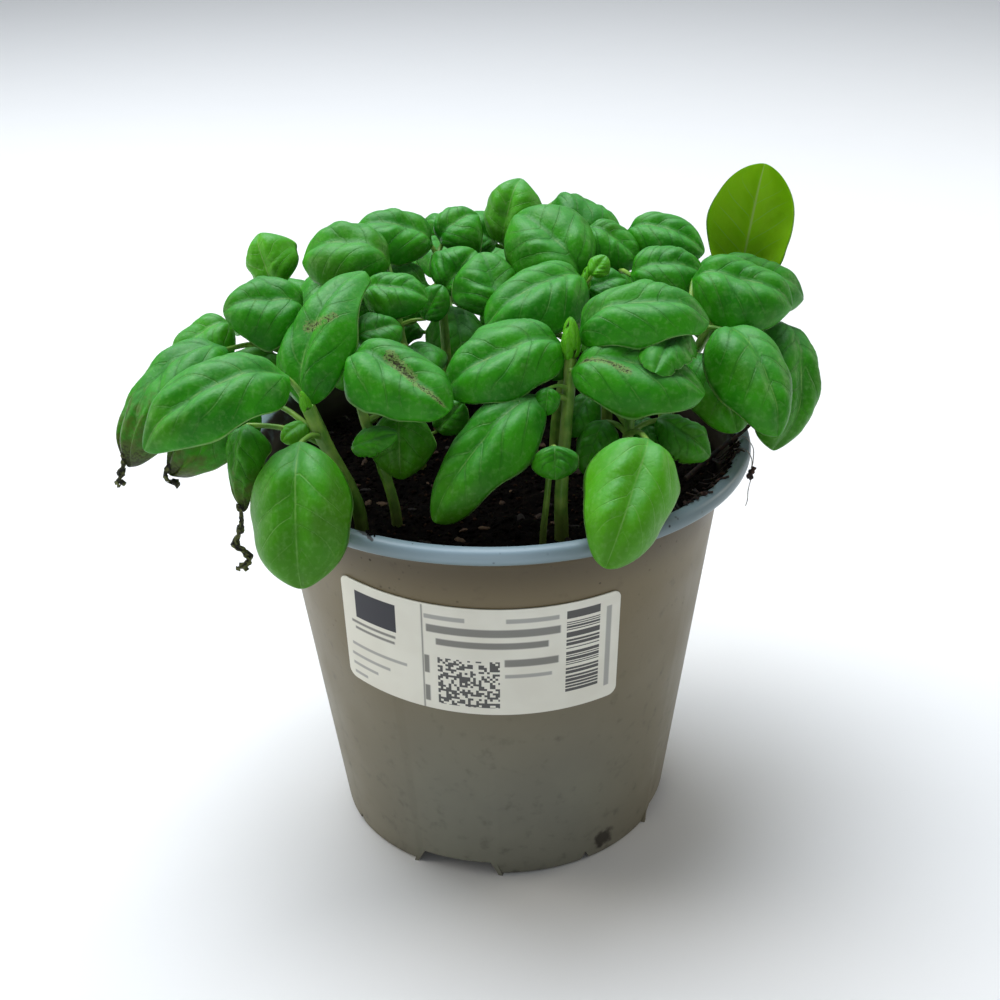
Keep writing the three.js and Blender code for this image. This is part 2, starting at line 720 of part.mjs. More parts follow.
// The pairs of a ruled stem: share of the height, blade length and stalk length.
const PAIRS = [
  { share: 0.36, length: 20, stalk: 9 },
  { share: 0.56, length: 25, stalk: 9 },
  { share: 0.77, length: 28, stalk: 9 },
  { share: 0.97, length: 22, stalk: 6 },
];

function ruledStem(rule) {
  const random = randomFrom(rule.seed);
  const [x, y] = rule.foot;
  const [leanX, leanY] = rule.lean;
  const path = [
    [x, y, 107],
    [x + 0.1 * leanX, y + 0.1 * leanY, 120],
    [x + 0.6 * leanX, y + 0.6 * leanY, (120 + rule.top) / 2],
    [x + leanX, y + leanY, rule.top],
  ];
  const stem = { name: rule.name, radius: 1.5, path, leaves: [], buds: [] };
  PAIRS.forEach((pair, i) => {
    const z = 107 + pair.share * (rule.top - 107);
    const node = stemPoint(stem, z);
    for (const half of [0, 180]) {
      const azimuth = rule.turn + 90 * i + half + 24 * (random() - 0.5);
      const length = pair.length * (0.85 + 0.3 * random());
      const droop = -10 - 25 * random();
      const base = node.clone().addScaledVector(direction(azimuth, 25), pair.stalk);
      const tip = base.clone().addScaledVector(direction(azimuth, droop), length);
      const width = length * (0.74 + 0.12 * random());
      const turned = azimuth + 40 * (random() - 0.5);
      const made = leaf(base.toArray(), tip.toArray(), width, turned, 66, 60 + 25 * random(), 55);
      stem.leaves.push({ ...made, plain: true });
    }
  });
  const top = stem.path[3];
  stem.buds.push(bud([top[0], top[1], top[2] - 2], [top[0], top[1] + 1, top[2] + 6], 1.4));
  return stem;
}

const stems = [...SEEN_STEMS, ...RULED_STEMS.map(ruledStem)];

const group = new THREE.Group();
group.name = "potted_basil";

function addPart(name, body, color, roughness, metalness = 0) {
  const material = new THREE.MeshStandardMaterial({ color, roughness, metalness });
  const mesh = new THREE.Mesh(geometryOf(body), material);
  mesh.name = name;
  group.add(mesh);
}

addPart("pot", makePot(), "#8b8780", 0.5);
addPart("label", makeLabel(), "#ecebe6", 0.7);
addPart("soil", makeSoil(stems), "#2b1f17", 0.95);
for (const stem of stems) {
  addPart(stem.name, makeLeafyStem(stem), "#3f8a2c", 0.45);
}

export default group;
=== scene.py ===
"""A basil plant in a round plastic pot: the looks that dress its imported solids.

Tables are in millimetres in the frame of the solids: the origin is the centre of the pot's
underside, +X is to the right, -Y is towards the viewer and +Z is up. Meshes are in metres.
"""

import logging
import math
from collections.abc import Callable, Sequence
from dataclasses import asdict, dataclass, fields
from enum import Enum

import bmesh
import bpy
import numpy as np
from bmesh.types import BMesh
from bpy.types import ID, Material, Mesh, Node, NodeOutputs, NodeSocket, NodeTree, Object
from mathutils import Matrix, Vector, noise


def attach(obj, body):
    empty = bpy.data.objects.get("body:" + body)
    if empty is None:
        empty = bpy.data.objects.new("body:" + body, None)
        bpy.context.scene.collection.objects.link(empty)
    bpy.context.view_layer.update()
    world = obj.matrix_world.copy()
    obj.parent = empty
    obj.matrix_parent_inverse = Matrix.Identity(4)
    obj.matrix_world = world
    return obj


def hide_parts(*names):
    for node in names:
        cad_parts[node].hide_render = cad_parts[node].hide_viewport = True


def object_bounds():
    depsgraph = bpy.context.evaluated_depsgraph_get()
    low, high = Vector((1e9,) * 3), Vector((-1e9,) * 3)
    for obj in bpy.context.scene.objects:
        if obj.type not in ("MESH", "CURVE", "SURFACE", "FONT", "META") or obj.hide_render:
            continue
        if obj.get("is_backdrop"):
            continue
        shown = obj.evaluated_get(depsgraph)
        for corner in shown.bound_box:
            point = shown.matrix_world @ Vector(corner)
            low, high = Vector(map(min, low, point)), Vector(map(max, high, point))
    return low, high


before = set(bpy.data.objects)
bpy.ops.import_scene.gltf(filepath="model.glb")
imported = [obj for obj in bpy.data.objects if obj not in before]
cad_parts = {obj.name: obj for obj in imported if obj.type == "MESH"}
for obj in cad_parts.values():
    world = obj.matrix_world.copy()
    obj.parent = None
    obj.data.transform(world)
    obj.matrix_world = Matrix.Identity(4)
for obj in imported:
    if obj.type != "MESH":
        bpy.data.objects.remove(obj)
cad_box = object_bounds()

LOG = logging.getLogger("potted_basil")
MM = 0.001
Triple = tuple[float, float, float]
Area = tuple[float, float, float, float]
Rise = tuple[float, float]
READER = "GeometryNodeInputNamedAttribute"

# The pot's driving sizes in millimetres: its wall is a cone from the foot to the collar.
POT_HEIGHT = 117.0
RIM_RADIUS = 70.0
FOOT_RADIUS = 48.2
COLLAR_RADIUS = 62.3
COLLAR_Z = 108
WALL_SLOPE = (COLLAR_RADIUS - FOOT_RADIUS) / COLLAR_Z
WALL_THICKNESS = 1.1
# Where the stems come out of the soil.
SPROUT_Z = 107


class Part(Enum):
    """The material slots that the record names."""

    POT = "pot_plastic"
    LABEL = "label_paper"
    SOIL = "potting_soil"
    PLANT = "basil_leaf"


# Node trees


def linear(hex_colour: str) -> tuple[float, float, float, float]:
    """Turn an sRGB colour into linear light.

    Args:
        hex_colour: Six hex digits after a hash sign.

    Returns:
        Red, green and blue in linear light, with an alpha of 1.
    """
    shares = [int(hex_colour[i : i + 2], 16) / 255 for i in (1, 3, 5)]
    light = [c / 12.92 if c <= 0.04045 else ((c + 0.055) / 1.055) ** 2.4 for c in shares]
    return (light[0], light[1], light[2], 1.0)


def add_node(
    tree: NodeTree, kind: str, links: dict | None = None, **settings: object
) -> Node:
    """Add a node with its settings, and link or set its inputs.

    Args:
        tree: The node tree that gets the node.
        kind: Blender's name of the node type.
        links: Input name or index to a field, a socket or a plain value.
        **settings: Properties of the node, set before its inputs.

    Returns:
        The new node.
    """
    node = tree.nodes.new(kind)
    for name, value in settings.items():
        setattr(node, name, value)
    for key, value in (links or {}).items():
        if isinstance(key, int):
            socket = node.inputs[key]
        else:
            socket = next(s for s in node.inputs if s.enabled and key in (s.name, s.identifier))
        if isinstance(value, Quantity):
            tree.links.new(value.socket, socket)
        elif isinstance(value, NodeSocket):
            tree.links.new(value, socket)
        else:
            socket.default_value = value
    return node


@dataclass(frozen=True)
class Quantity:
    """A number that a node tree works out, so that a formula reads as one."""

    tree: NodeTree
    socket: NodeSocket

    def work(self, operation: str, *others: "Quantity | float") -> "Quantity":
        """Apply a mathematical operation.

        Args:
            operation: The operation of a Math node.
            *others: The further operands.

        Returns:
            The result as another quantity.
        """
        links = dict(enumerate((self, *others)))
        node = add_node(self.tree, "ShaderNodeMath", links, operation=operation)
        return Quantity(self.tree, node.outputs[0])

    def __add__(self, other: "Quantity | float") -> "Quantity":
        """Add."""
        return self.work("ADD", other)

    def __sub__(self, other: "Quantity | float") -> "Quantity":
        """Subtract."""
        return self.work("SUBTRACT", other)

    def __rsub__(self, other: float) -> "Quantity":
        """Subtract from a plain number."""
        return self.work("MULTIPLY_ADD", -1.0, other)

    def __mul__(self, other: "Quantity | float") -> "Quantity":
        """Multiply."""
        return self.work("MULTIPLY", other)

    def __truediv__(self, other: "Quantity | float") -> "Quantity":
        """Divide."""
        return self.work("DIVIDE", other)

    def __pow__(self, other: float) -> "Quantity":
        """Raise to a power."""
        return self.work("POWER", other)

    def size(self) -> "Quantity":
        """Drop the sign."""
        return self.work("ABSOLUTE")

    def eased(self, low: float, high: float) -> "Quantity":
        """Rise smoothly from 0 at one value to 1 at another.

        Args:
            low: Where the rise starts.
            high: Where it ends.

        Returns:
            The eased share.
        """
        links = {"Value": self, "From Min": low, "From Max": high}
        kind = {"interpolation_type": "SMOOTHSTEP"}
        node = add_node(self.tree, "ShaderNodeMapRange", links, **kind)
        return Quantity(self.tree, node.outputs["Result"])


@dataclass(frozen=True)
class Heading(Quantity):
    """A vector that a node tree works out."""

    def plus(self, other: "Heading") -> "Heading":
        """Add another vector."""
        node = add_node(self.tree, "ShaderNodeVectorMath", {0: self, 1: other}, operation="ADD")
        return Heading(self.tree, node.outputs[0])

    def scaled(self, factor: Quantity | float) -> "Heading":
        """Lengthen by a factor."""
        node = add_node(self.tree, "ShaderNodeVectorMath", {0: self, 3: factor}, operation="SCALE")
        return Heading(self.tree, node.outputs[0])

    def parts(self) -> tuple[Quantity, Quantity, Quantity]:
        """Take the vector apart into X, Y and Z."""
        node = add_node(self.tree, "ShaderNodeSeparateXYZ", {0: self})
        return tuple(Quantity(self.tree, output) for output in node.outputs)


def stored(tree: NodeTree, name: str) -> Quantity:
    """Read a stored number of the geometry by its name."""
    kind = {"data_type": "FLOAT"}
    return Quantity(tree, add_node(tree, READER, {"Name": name}, **kind).outputs[0])


def stored_heading(tree: NodeTree, name: str) -> Heading:
    """Read a stored vector of the geometry by its name."""
    kind = {"data_type": "FLOAT_VECTOR"}
    return Heading(tree, add_node(tree, READER, {"Name": name}, **kind).outputs[0])


def open_tree(
    name: str, inputs: dict[str, str]
) -> tuple[NodeTree, NodeOutputs]:
    """Start a geometry tree with named inputs and one geometry output.

    Args:
        name: The tree's name.
        inputs: Input name to socket type, without the common prefix.

    Returns:
        The tree and the sockets that give its inputs, by name.
    """
    tree = bpy.data.node_groups.new(name, "GeometryNodeTree")
    for label, kind in inputs.items():
        tree.interface.new_socket(name=label, in_out="INPUT", socket_type="NodeSocket" + kind)
    tree.interface.new_socket(name="Mesh", in_out="OUTPUT", socket_type="NodeSocketGeometry")
    return tree, add_node(tree, "NodeGroupInput").outputs


def close_tree(
    tree: NodeTree, mesh: NodeSocket, skin: NodeSocket
) -> None:
    """End a tree in real, smooth-shaded geometry with its material.

    Args:
        tree: The tree to end.
        mesh: The geometry so far.
        skin: The input that names the material.
    """
    real = add_node(tree, "GeometryNodeRealizeInstances", {"Geometry": mesh})
    smooth = add_node(tree, "GeometryNodeSetShadeSmooth", {"Geometry": real.outputs[0]})
    dressed = {"Geometry": smooth.outputs[0], "Material": skin}
    final = add_node(tree, "GeometryNodeSetMaterial", dressed)
    add_node(tree, "NodeGroupOutput", {0: final.outputs[0]})


def set_out(name: str, content: ID) -> Object:
    """Put a mesh, lamp or camera in the scene as an object.

    Args:
        name: The object's name.
        content: What it shows.

    Returns:
        The object, at the origin.
    """
    piece = bpy.data.objects.new(name, content)
    bpy.context.scene.collection.objects.link(piece)
    return piece


def grown(
    carrier: Mesh, tree: NodeTree, values: dict[str, object]
) -> Mesh:
    """Run a geometry tree on a mesh and keep the result as a plain mesh.

    Args:
        carrier: The mesh that carries the points, lines or faces to grow from.
        tree: The geometry tree.
        values: Input name to value.

    Returns:
        The grown mesh.
    """
    holder = set_out(carrier.name, carrier)
    modifier = holder.modifiers.new("growth", "NODES")
    modifier.node_group = tree
    for item in tree.interface.items_tree:
        if item.in_out == "INPUT" and item.name in values:
            modifier[item.identifier] = values[item.name]
    depsgraph = bpy.context.evaluated_depsgraph_get()
    result = bpy.data.meshes.new_from_object(
        holder.evaluated_get(depsgraph), preserve_all_data_layers=True, depsgraph=depsgraph
    )
    holder.modifiers.remove(modifier)
    bpy.data.objects.remove(holder)
    bpy.data.meshes.remove(carrier)
    return result


def point_cloud(
    name: str, points: Sequence[Vector], edges: Sequence[tuple[int, int]] = ()
) -> Mesh:
    """Make a mesh of bare points, or of lines between them.

    Args:
        name: The mesh's name.
        points: Places in millimetres.
        edges: Pairs of point numbers.

    Returns:
        The mesh, in metres.
    """
    mesh = bpy.data.meshes.new(name)
    mesh.from_pydata([point * MM for point in points], list(edges), [])
    return mesh


def store(mesh: Mesh, name: str, values: np.ndarray, domain: str = "POINT") -> None:
    """Store numbers or vectors on a mesh under a name.

    Args:
        mesh: The mesh.
        name: The attribute's name.
        values: One number or one vector for each element.
        domain: The kind of element.
    """
    vector = values.ndim == 2
    attribute = mesh.attributes.new(name, "FLOAT_VECTOR" if vector else "FLOAT", domain)
    attribute.data.foreach_set("vector" if vector else "value", values.astype(np.float32).ravel())


def settled(name: str, shape: BMesh) -> Mesh:
    """Turn a shape in the making into a plain mesh.

    Args:
        name: The mesh's name.
        shape: The shape, which is freed.

    Returns:
        The mesh.
    """
    mesh = bpy.data.meshes.new(name)
    shape.to_mesh(mesh)
    shape.free()
    return mesh


def merged(name: str, meshes: Sequence[Mesh]) -> Object:
    """Join meshes into one object at the origin, with their materials and attributes.

    Args:
        name: The object's name.
        meshes: Plain meshes, each with its materials.

    Returns:
        The object, linked to the scene.
    """
    result = bpy.data.meshes.new(name)
    both = bmesh.new()
    for mesh in meshes:
        first = len(both.faces)
        shift = len(result.materials)
        for material in mesh.materials:
            result.materials.append(material)
        both.from_mesh(mesh)
        both.faces.ensure_lookup_table()
        for i in range(first, len(both.faces)):
            both.faces[i].material_index += shift
        bpy.data.meshes.remove(mesh)
    both.to_mesh(result)
    both.free()
    return set_out(name, result)


def seat(piece: Object, slot: Part, *nodes: str) -> None:
    """Let a piece ride on the plant's one body, in the place of the solids it refines.

    Args:
        piece: The finished piece.
        slot: The record's material slot; not used.
        *nodes: The solids that it replaces.
    """
    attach(piece, "root")
    if nodes:
        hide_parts(*nodes)


# Finishes


@dataclass
class Skin:
    """A material under construction: its tree, its shader and the readings it uses."""

    name: str

    def __post_init__(self) -> None:
        """Set up the tree with a principled shader and the place on the object, in metres."""
        self.material = bpy.data.materials.new(self.name)
        self.material.use_nodes = True
        self.tree = self.material.node_tree
        self.tree.nodes.clear()
        self.shader = add_node(self.tree, "ShaderNodeBsdfPrincipled")
        add_node(self.tree, "ShaderNodeOutputMaterial", {"Surface": self.shader.outputs[0]})
        node = add_node(self.tree, "ShaderNodeTexCoord")
        self.place = Heading(self.tree, node.outputs["Object"])

    def unwrapped(self, name: str) -> Heading:
        """Read a UV map of the piece."""
        node = add_node(self.tree, "ShaderNodeUVMap", uv_map=name)
        return Heading(self.tree, node.outputs[0])

    def reading(self, name: str) -> Quantity:
        """Read a stored number of the piece."""
        node = add_node(self.tree, "ShaderNodeAttribute", attribute_name=name)
        return Quantity(self.tree, node.outputs["Fac"])

    def cloud(self, size: float, detail: float = 3.0) -> Quantity:
        """Read soft noise.

        Args:
            size: The size of a patch in millimetres.
            detail: How many finer layers it has.

        Returns:
            A number about 0.5.
        """
        links = {"Vector": self.place, "Scale": 1 / (size * MM), "Detail": detail}
        node = add_node(self.tree, "ShaderNodeTexNoise", links)
        return Quantity(self.tree, node.outputs["Fac"])

    def cells(self, size: float, feature: str = "DISTANCE_TO_EDGE") -> Quantity:
        """Read a cell pattern.

        Args:
            size: The size of a cell in millimetres.
            feature: What is measured in each cell.

        Returns:
            The distance in cells.
        """
        links = {"Vector": self.place, "Scale": 1 / (size * MM)}
        node = add_node(self.tree, "ShaderNodeTexVoronoi", links, feature=feature)
        return Quantity(self.tree, node.outputs["Distance"])

    def streak(self, start: Triple, end: Triple, width: float) -> Quantity:
        """Cover a thin ragged line on the surface.

        Args:
            start: Where the line starts, in millimetres.
            end: Where it ends.
            width: How wide it is, in millimetres.

        Returns:
            1 on the line and 0 away from it.
        """
        first, run = Vector(start) * MM, (Vector(end) - Vector(start)) * MM
        kind = "ShaderNodeVectorMath"
        links = {0: self.place, 1: first}
        offset = add_node(self.tree, kind, links, operation="SUBTRACT").outputs[0]
        links = {0: offset, 1: run / run.length_squared}
        share = add_node(self.tree, kind, links, operation="DOT_PRODUCT").outputs["Value"]
        ahead = Quantity(self.tree, share).work("MAXIMUM", 0.0).work("MINIMUM", 1.0)
        nearest = add_node(self.tree, kind, {0: run, 3: ahead}, operation="SCALE").outputs[0]
        gap = self.away(Heading(self.tree, offset), nearest)
        ragged = gap / (width * MM) + self.cloud(1.4) - 0.5
        return 1.0 - ragged.eased(0.3, 0.6)

    def coated(self, base: object, *coats: tuple[Quantity, object]) -> NodeSocket:
        """Lay coats of colour over a base.

        Args:
            base: The colour underneath, as hex or as a socket.
            *coats: The share and the colour of each coat, from below upwards.

        Returns:
            The colour's socket.
        """
        for share, coat in coats:
            low, high = (linear(end) if isinstance(end, str) else end for end in (base, coat))
            links = {"Factor": share, "A": low, "B": high}
            node = add_node(self.tree, "ShaderNodeMix", links, data_type="RGBA")
            base = next(output for output in node.outputs if output.enabled)
        return base

    def away(self, at: Heading, centre: object) -> Quantity:
        """Read the distance from a place, both in metres."""
        node = add_node(self.tree, "ShaderNodeVectorMath", {0: at, 1: centre}, operation="DISTANCE")
        return Quantity(self.tree, node.outputs["Value"])

    def finish(
        self,
        colour: NodeSocket,
        roughness: Quantity | float,
        height: Quantity | None = None,
        depth: float = 0.1,
        **constants: object,
    ) -> Material:
        """Connect the shader.

        Args:
            colour: The base colour's socket.
            roughness: How rough the surface is.
            height: The relief, in shares of the depth.
            depth: The relief's depth in millimetres.
            **constants: Further inputs of the shader, with underscores for blanks.

        Returns:
            The finished material.
        """
        inputs = self.shader.inputs
        self.tree.links.new(colour, inputs["Base Color"])
        if isinstance(roughness, Quantity):
            self.tree.links.new(roughness.socket, inputs["Roughness"])
        else:
            inputs["Roughness"].default_value = roughness
        if height is not None:
            links = {"Height": height, "Distance": depth * MM, "Strength": 1.0}
            bump = add_node(self.tree, "ShaderNodeBump", links)
            self.tree.links.new(bump.outputs[0], inputs["Normal"])
        for name, value in constants.items():
            inputs[name.replace("_", " ")].default_value = value
        return self.material


@dataclass(frozen=True)
class LeafFinish:
    """Living basil leaf: a waxy, glossy upper side with sunken veins, a duller pale underside."""

    deep: str = "#1d7604"
    fresh: str = "#36960e"
    # Painted sheen: the bluish reflection of the sky, laid on the sides of the blades that face up.
    bloom: str = "#579f54"
    young: str = "#62b81c"
    vein: str = "#74ad4c"
    rim: str = "#97c878"
    under: str = "#5c9a12"
    lit_under: str = "#93cc0c"
    keel: str = "#b4cf74"
    # Painted shade in the sunken side veins and the midrib's crease.
    groove: str = "#17560c"
    olive: str = "#42720c"
    dried: str = "#4f5420"
    scar: str = "#878f5a"
    dead: str = "#26220f"
    roughness: float = 0.43
    # Heights in metres between which the shade low in the plant gives way to light.
    shade_end: Rise = (0.105, 0.145)

    def material(self) -> Material:
        """Build the material.

        Returns:
            The leaf's material, which follows the blade's own map.
        """
        skin = Skin("basil_leaf_waxy")
        across, along, _ = skin.unwrapped("blade").parts()
        height = skin.place.parts()[2]
        tint, dry, scar = (skin.reading(name) for name in ("tint", "dry", "scar"))
        edge = (1.0 - (across * 4.0 - 2.0).size()).size()
        lower = across.work("GREATER_THAN", 0.5)
        # How far it is to the nearest side vein, in shares of their spacing.
        apart = (skin.reading("phase").work("FRACT") - 0.5).size()
        veined = (1.0 - edge.eased(0.6, 0.95)) * (1.0 - along.eased(0.6, 0.95))
        veined = veined * along.eased(0.02, 0.1)
        line = (1.0 - apart.eased(0.0, 0.05)) * veined
        # Painted shade along the sunken side veins and the midrib's crease.
        painted_crease_shade = (1.0 - apart.eased(0.02, 0.16)) * veined
        painted_crease_shade = painted_crease_shade.work("MAXIMUM", 1.0 - edge.eased(0.01, 0.07))
        midrib = 1.0 - edge.eased(0.008, 0.022)
        # A pale line along the edge: painted highlight where the rounded margin catches the light.
        border = edge.eased(0.965, 0.985)
        patches = skin.cloud(9.0).eased(0.3, 0.7)
        faded = skin.cloud(6.0).eased(0.42, 0.62)
        grain = skin.cloud(1.3, 2.0)
        speckle = skin.cloud(0.7, 2.0)
        young, fresher = tint.eased(0.0, 1.0), tint.eased(0.1, 0.5)
        shaded = skin.cloud(17.0, 2.0).eased(0.5, 0.72) * 0.4
        shaded = shaded + (1.0 - height.eased(*self.shade_end)) * 0.6
        upper = skin.coated(
            self.deep,
            (patches, self.fresh),
            (young, self.young),
            (shaded, self.olive),
            # The painted sheen of the sky, stronger where the blade faces up.
            (skin.reading("bloom").eased(0.55, 1.0) * 0.65, self.bloom),
            (painted_crease_shade * (1.0 - fresher) * 0.35, self.groove),
            (line * (faded * 0.3 + fresher * 0.3), self.vein),
            (midrib * (faded * 0.5 + fresher * 0.4), self.vein),
            ((grain - 0.5).work("MAXIMUM", 0.0) * 0.6, self.rim),
        )
        below = skin.coated(
            self.under,
            # Tinted leaves get the painted glow of light shining through on their undersides.
            (young, self.lit_under),
            (line * 0.35, self.rim),
            ((1.0 - edge.eased(0.01, 0.04)) * 0.7, self.keel),
        )
        rubbed = (scar + speckle * 1.2 - 0.85).eased(0.0, 0.5)
        crack = (scar + speckle * 0.7 - 1.1).eased(0.0, 0.12)
        pits = (scar * 0.5 + skin.cloud(0.45, 1.0) * 1.4 - 1.1).eased(0.0, 0.12)
        drying = dry * (along + skin.cloud(2.0) - 0.5).eased(0.5, 0.95)
        withered = dry * (along + speckle * 0.3).eased(0.97, 1.12)
        colour = skin.coated(
            upper,
            (lower, below),
            # The painted highlight along the edge.
            (border * 0.65, self.rim),
            (rubbed * 0.6, self.scar),
            (crack * 0.65, self.dead),
            (drying * 0.75, self.dried),
            ((pits * scar.eased(0.1, 0.4)).work("MAXIMUM", withered) * 0.85, self.dead),
        )
        net = skin.cells(1.5).eased(0.0, 0.25)
        relief = net * 0.4 + grain * 0.6 - line * (1.2 - lower * 1.5)
        rough = skin.cloud(3.0) * 0.16 + lower * 0.2 + rubbed * 0.3 + (self.roughness - 0.08)
        return skin.finish(
            colour,
            rough,
            relief,
            0.06,
            IOR=1.45,
            Specular_IOR_Level=0.24,
            Subsurface_Weight=0.12,
            Subsurface_Radius=(0.5, 1.0, 0.1),
            Subsurface_Scale=0.6 * MM,
        )


@dataclass(frozen=True)
class StalkFinish:
    """Young basil stem: juicy, smooth and pale green in soft patches, browner at the soil."""

    light: str = "#94ba52"
    dark: str = "#5d9130"
    foot: str = "#6a7a3a"
    # Heights in metres between which the foot's tone gives way.
    foot_end: Rise = (0.104, 0.118)

    def material(self) -> Material:
        """Build the material.

        Returns:
            The stems' and stalks' material.
        """
        skin = Skin("basil_stem_juicy")
        patches = skin.cloud(6.0).eased(0.35, 0.7)
        near_soil = 1.0 - skin.place.parts()[2].eased(*self.foot_end)
        colour = skin.coated(self.dark, (patches, self.light), (near_soil, self.foot))
        grain = skin.cloud(0.8)
        return skin.finish(
            colour,
            0.42,
            grain,
            0.06,
            IOR=1.42,
            Subsurface_Weight=0.2,
            Subsurface_Radius=(0.6, 1.0, 0.2),
            Subsurface_Scale=1.0 * MM,
        )


@dataclass(frozen=True)
class WitheredFinish:
    """Withered leaf tip: dried black-brown, dull and wrinkled."""

    dark: str = "#1b1c12"
    brown: str = "#5a6030"

    def material(self) -> Material:
        """Build the material.

        Returns:
            The withered tips' material.
        """
        skin = Skin("basil_tip_withered")
        patches = skin.cloud(1.2)
        colour = skin.coated(self.dark, (patches.eased(0.4, 0.62), self.brown))
        return skin.finish(colour, 0.8, patches, 0.3)


@dataclass(frozen=True)
class PotFinish:
    """Thermoformed polypropylene: satin warm grey; the rolled rim is painted a little paler and
    cooler as a reflection of the sky.
    """

    wall: str = "#767668"
    shade: str = "#6b6a60"
    warm: str = "#73674c"
    # Painted reflection of the sky: the rolled rim's cooler grey-blue.
    rim: str = "#6d7f83"
    # Painted highlight: a pale band along the front of the rim, where it reflects the light.
    band: str = "#97adb8"
    # Painted side light: the warmer, browner tone of the wall's sides as they catch the light.
    flank: str = "#766c52"
    # Painted shadow: the dark brown band that the rim casts on the wall under it.
    collar: str = "#443a28"
    red: str = "#7a4a3a"
    earth: str = "#221a13"
    roughness: float = 0.42
    # Heights in metres between which each tone comes in from below, and the rim's rounded crest.
    warm_rise: Rise = (0.02, 0.1)
    collar_rise: Rise = (0.094, 0.109)
    rim_rise: Rise = (0.1115, 0.1128)
    band_rise: Rise = (0.1128, 0.1145)
    crest: Rise = (0.1163, 0.117)
    # Distances in metres from the middle of the front at which the painted highlight on the rim
    # ends.
    band_end: Rise = (0.006, 0.034)
    band_middle: float = -0.005
    # Distances in metres to either side over which painted side light turns the wall browner.
    flank_rise: Rise = (0.015, 0.05)
    # Scuffs and dirt streaks on the rim, and thin reddish lines just under it: start, end and width
    # in millimetres.
    scuffs: tuple[tuple[Triple, Triple, float], ...] = (
        ((-21.0, -64.5, 117.0), (-23.2, -65.0, 114.0), 0.35),
        ((-34.9, -56.2, 117.0), (-33.0, -58.9, 117.0), 1.6),
        ((-33.0, -58.9, 117.0), (-31.2, -61.6, 116.5), 1.0),
        ((-64.5, -21.8, 117.0), (-62.9, -25.5, 117.0), 1.8),
    )
    red_lines: tuple[tuple[Triple, Triple, float], ...] = (
        ((-29.7, -60.1, 110.0), (-14.7, -65.2, 110.0), 0.45),
        ((-14.7, -65.2, 110.0), (-0.1, -67.0, 110.0), 0.45),
    )
    stain_centre: Triple = (27.5, -39.6, 5.7)
    stain_radius: float = 4.5

    def material(self) -> Material:
        """Build the material.

        Returns:
            The pot's material.
        """
        skin = Skin("polypropylene_thermoformed_satin")
        x, y, height = skin.place.parts()
        patches = skin.cloud(22.0, 4.0).eased(0.3, 0.7)
        # The rim, painted grey-blue as the reflection of the sky, and a little glossier.
        rim = height.eased(*self.rim_rise)
        # The painted highlight along the rim's outer roll, at the front and weaker on the crest.
        front = 1.0 - (x - self.band_middle).size().eased(*self.band_end)
        band = height.eased(*self.band_rise) * (1.0 - height.eased(*self.crest) * 0.6) * front
        # The middle of the wall's thickness, which flares above the collar.
        flare = (height - COLLAR_Z * MM).work("MAXIMUM", 0.0) * (0.5 - WALL_SLOPE)
        middle = height * WALL_SLOPE + (FOOT_RADIUS - 0.5) * MM + flare
        outwards = (x * x + y * y) ** 0.5 - middle + skin.cloud(4.0) * MM - 0.5 * MM
        # The inner face of the wall is darkened to near black.
        inside = 1.0 - outwards.eased(-0.2 * MM, 0.4 * MM)
        dusty = skin.cloud(14.0, 2.0).eased(0.5, 0.68) * height.eased(0.06, 0.115)
        dust = (1.0 - skin.cells(2.6, "F1").eased(0.08, 0.2)) * dusty
        distance = skin.away(skin.place, Vector(self.stain_centre) * MM) / (self.stain_radius * MM)
        stain = 1.0 - (distance + skin.cloud(2.2) * 1.1 - 0.55).eased(0.45, 0.95)
        soiled = stain.work("MAXIMUM", dust)
        for scuff in self.scuffs:
            soiled = soiled.work("MAXIMUM", skin.streak(*scuff))
        colour = skin.coated(
            self.wall,
            (patches * 0.5, self.shade),
            (height.eased(*self.warm_rise), self.warm),
            # Painted side light towards either side.
            (x.size().eased(*self.flank_rise) * 0.7, self.flank),
            # The painted shadow under the rim.
            (height.eased(*self.collar_rise) * 0.75, self.collar),
            (rim, self.rim),
            (band * 0.8, self.band),
            (inside, self.earth),
            (soiled * 0.85, self.earth),
            *((skin.streak(*line) * 0.6, self.red) for line in self.red_lines),
        )
        grain = skin.cloud(0.5, 2.0)
        rough = patches * 0.1 + soiled * 0.3 + self.roughness - rim * 0.1
        return skin.finish(colour, rough, grain, 0.02, IOR=1.49, Specular_IOR_Level=0.38)


@dataclass(frozen=True)
class SoilFinish:
    """Damp peat soil: nearly black crumbs with brown fibre in them, dull all over."""

    wet: str = "#040201"
    dry: str = "#150d08"
    fibre: str = "#38261a"

    def material(self) -> Material:
        """Build the material.

        Returns:
            The soil's material, darker or lighter for each crumb.
        """
        skin = Skin("peat_soil_damp")
        grain = skin.cloud(1.8, 5.0)
        fibrous = skin.reading("crumb").eased(0.75, 1.0) * 0.8
        colour = skin.coated(self.wet, (grain.eased(0.4, 0.75), self.dry), (fibrous, self.fibre))
        return skin.finish(colour, 0.95, grain, 0.8, Specular_IOR_Level=0.08)


@dataclass(frozen=True)
class BarkFinish:
    """Split bark and wood chips: tan to dark brown, fibrous and dull."""

    tan: str = "#5c432c"
    brown: str = "#1c120b"

    def material(self) -> Material:
        """Build the material.

        Returns:
            The chips' material.
        """
        skin = Skin("bark_chips_split")
        grain = skin.cloud(0.9, 4.0)
        light = (skin.reading("crumb") + grain * 0.7 - 0.35).eased(0.5, 1.0)
        colour = skin.coated(self.brown, (light, self.tan))
        return skin.finish(colour, 0.85, grain, 0.5)


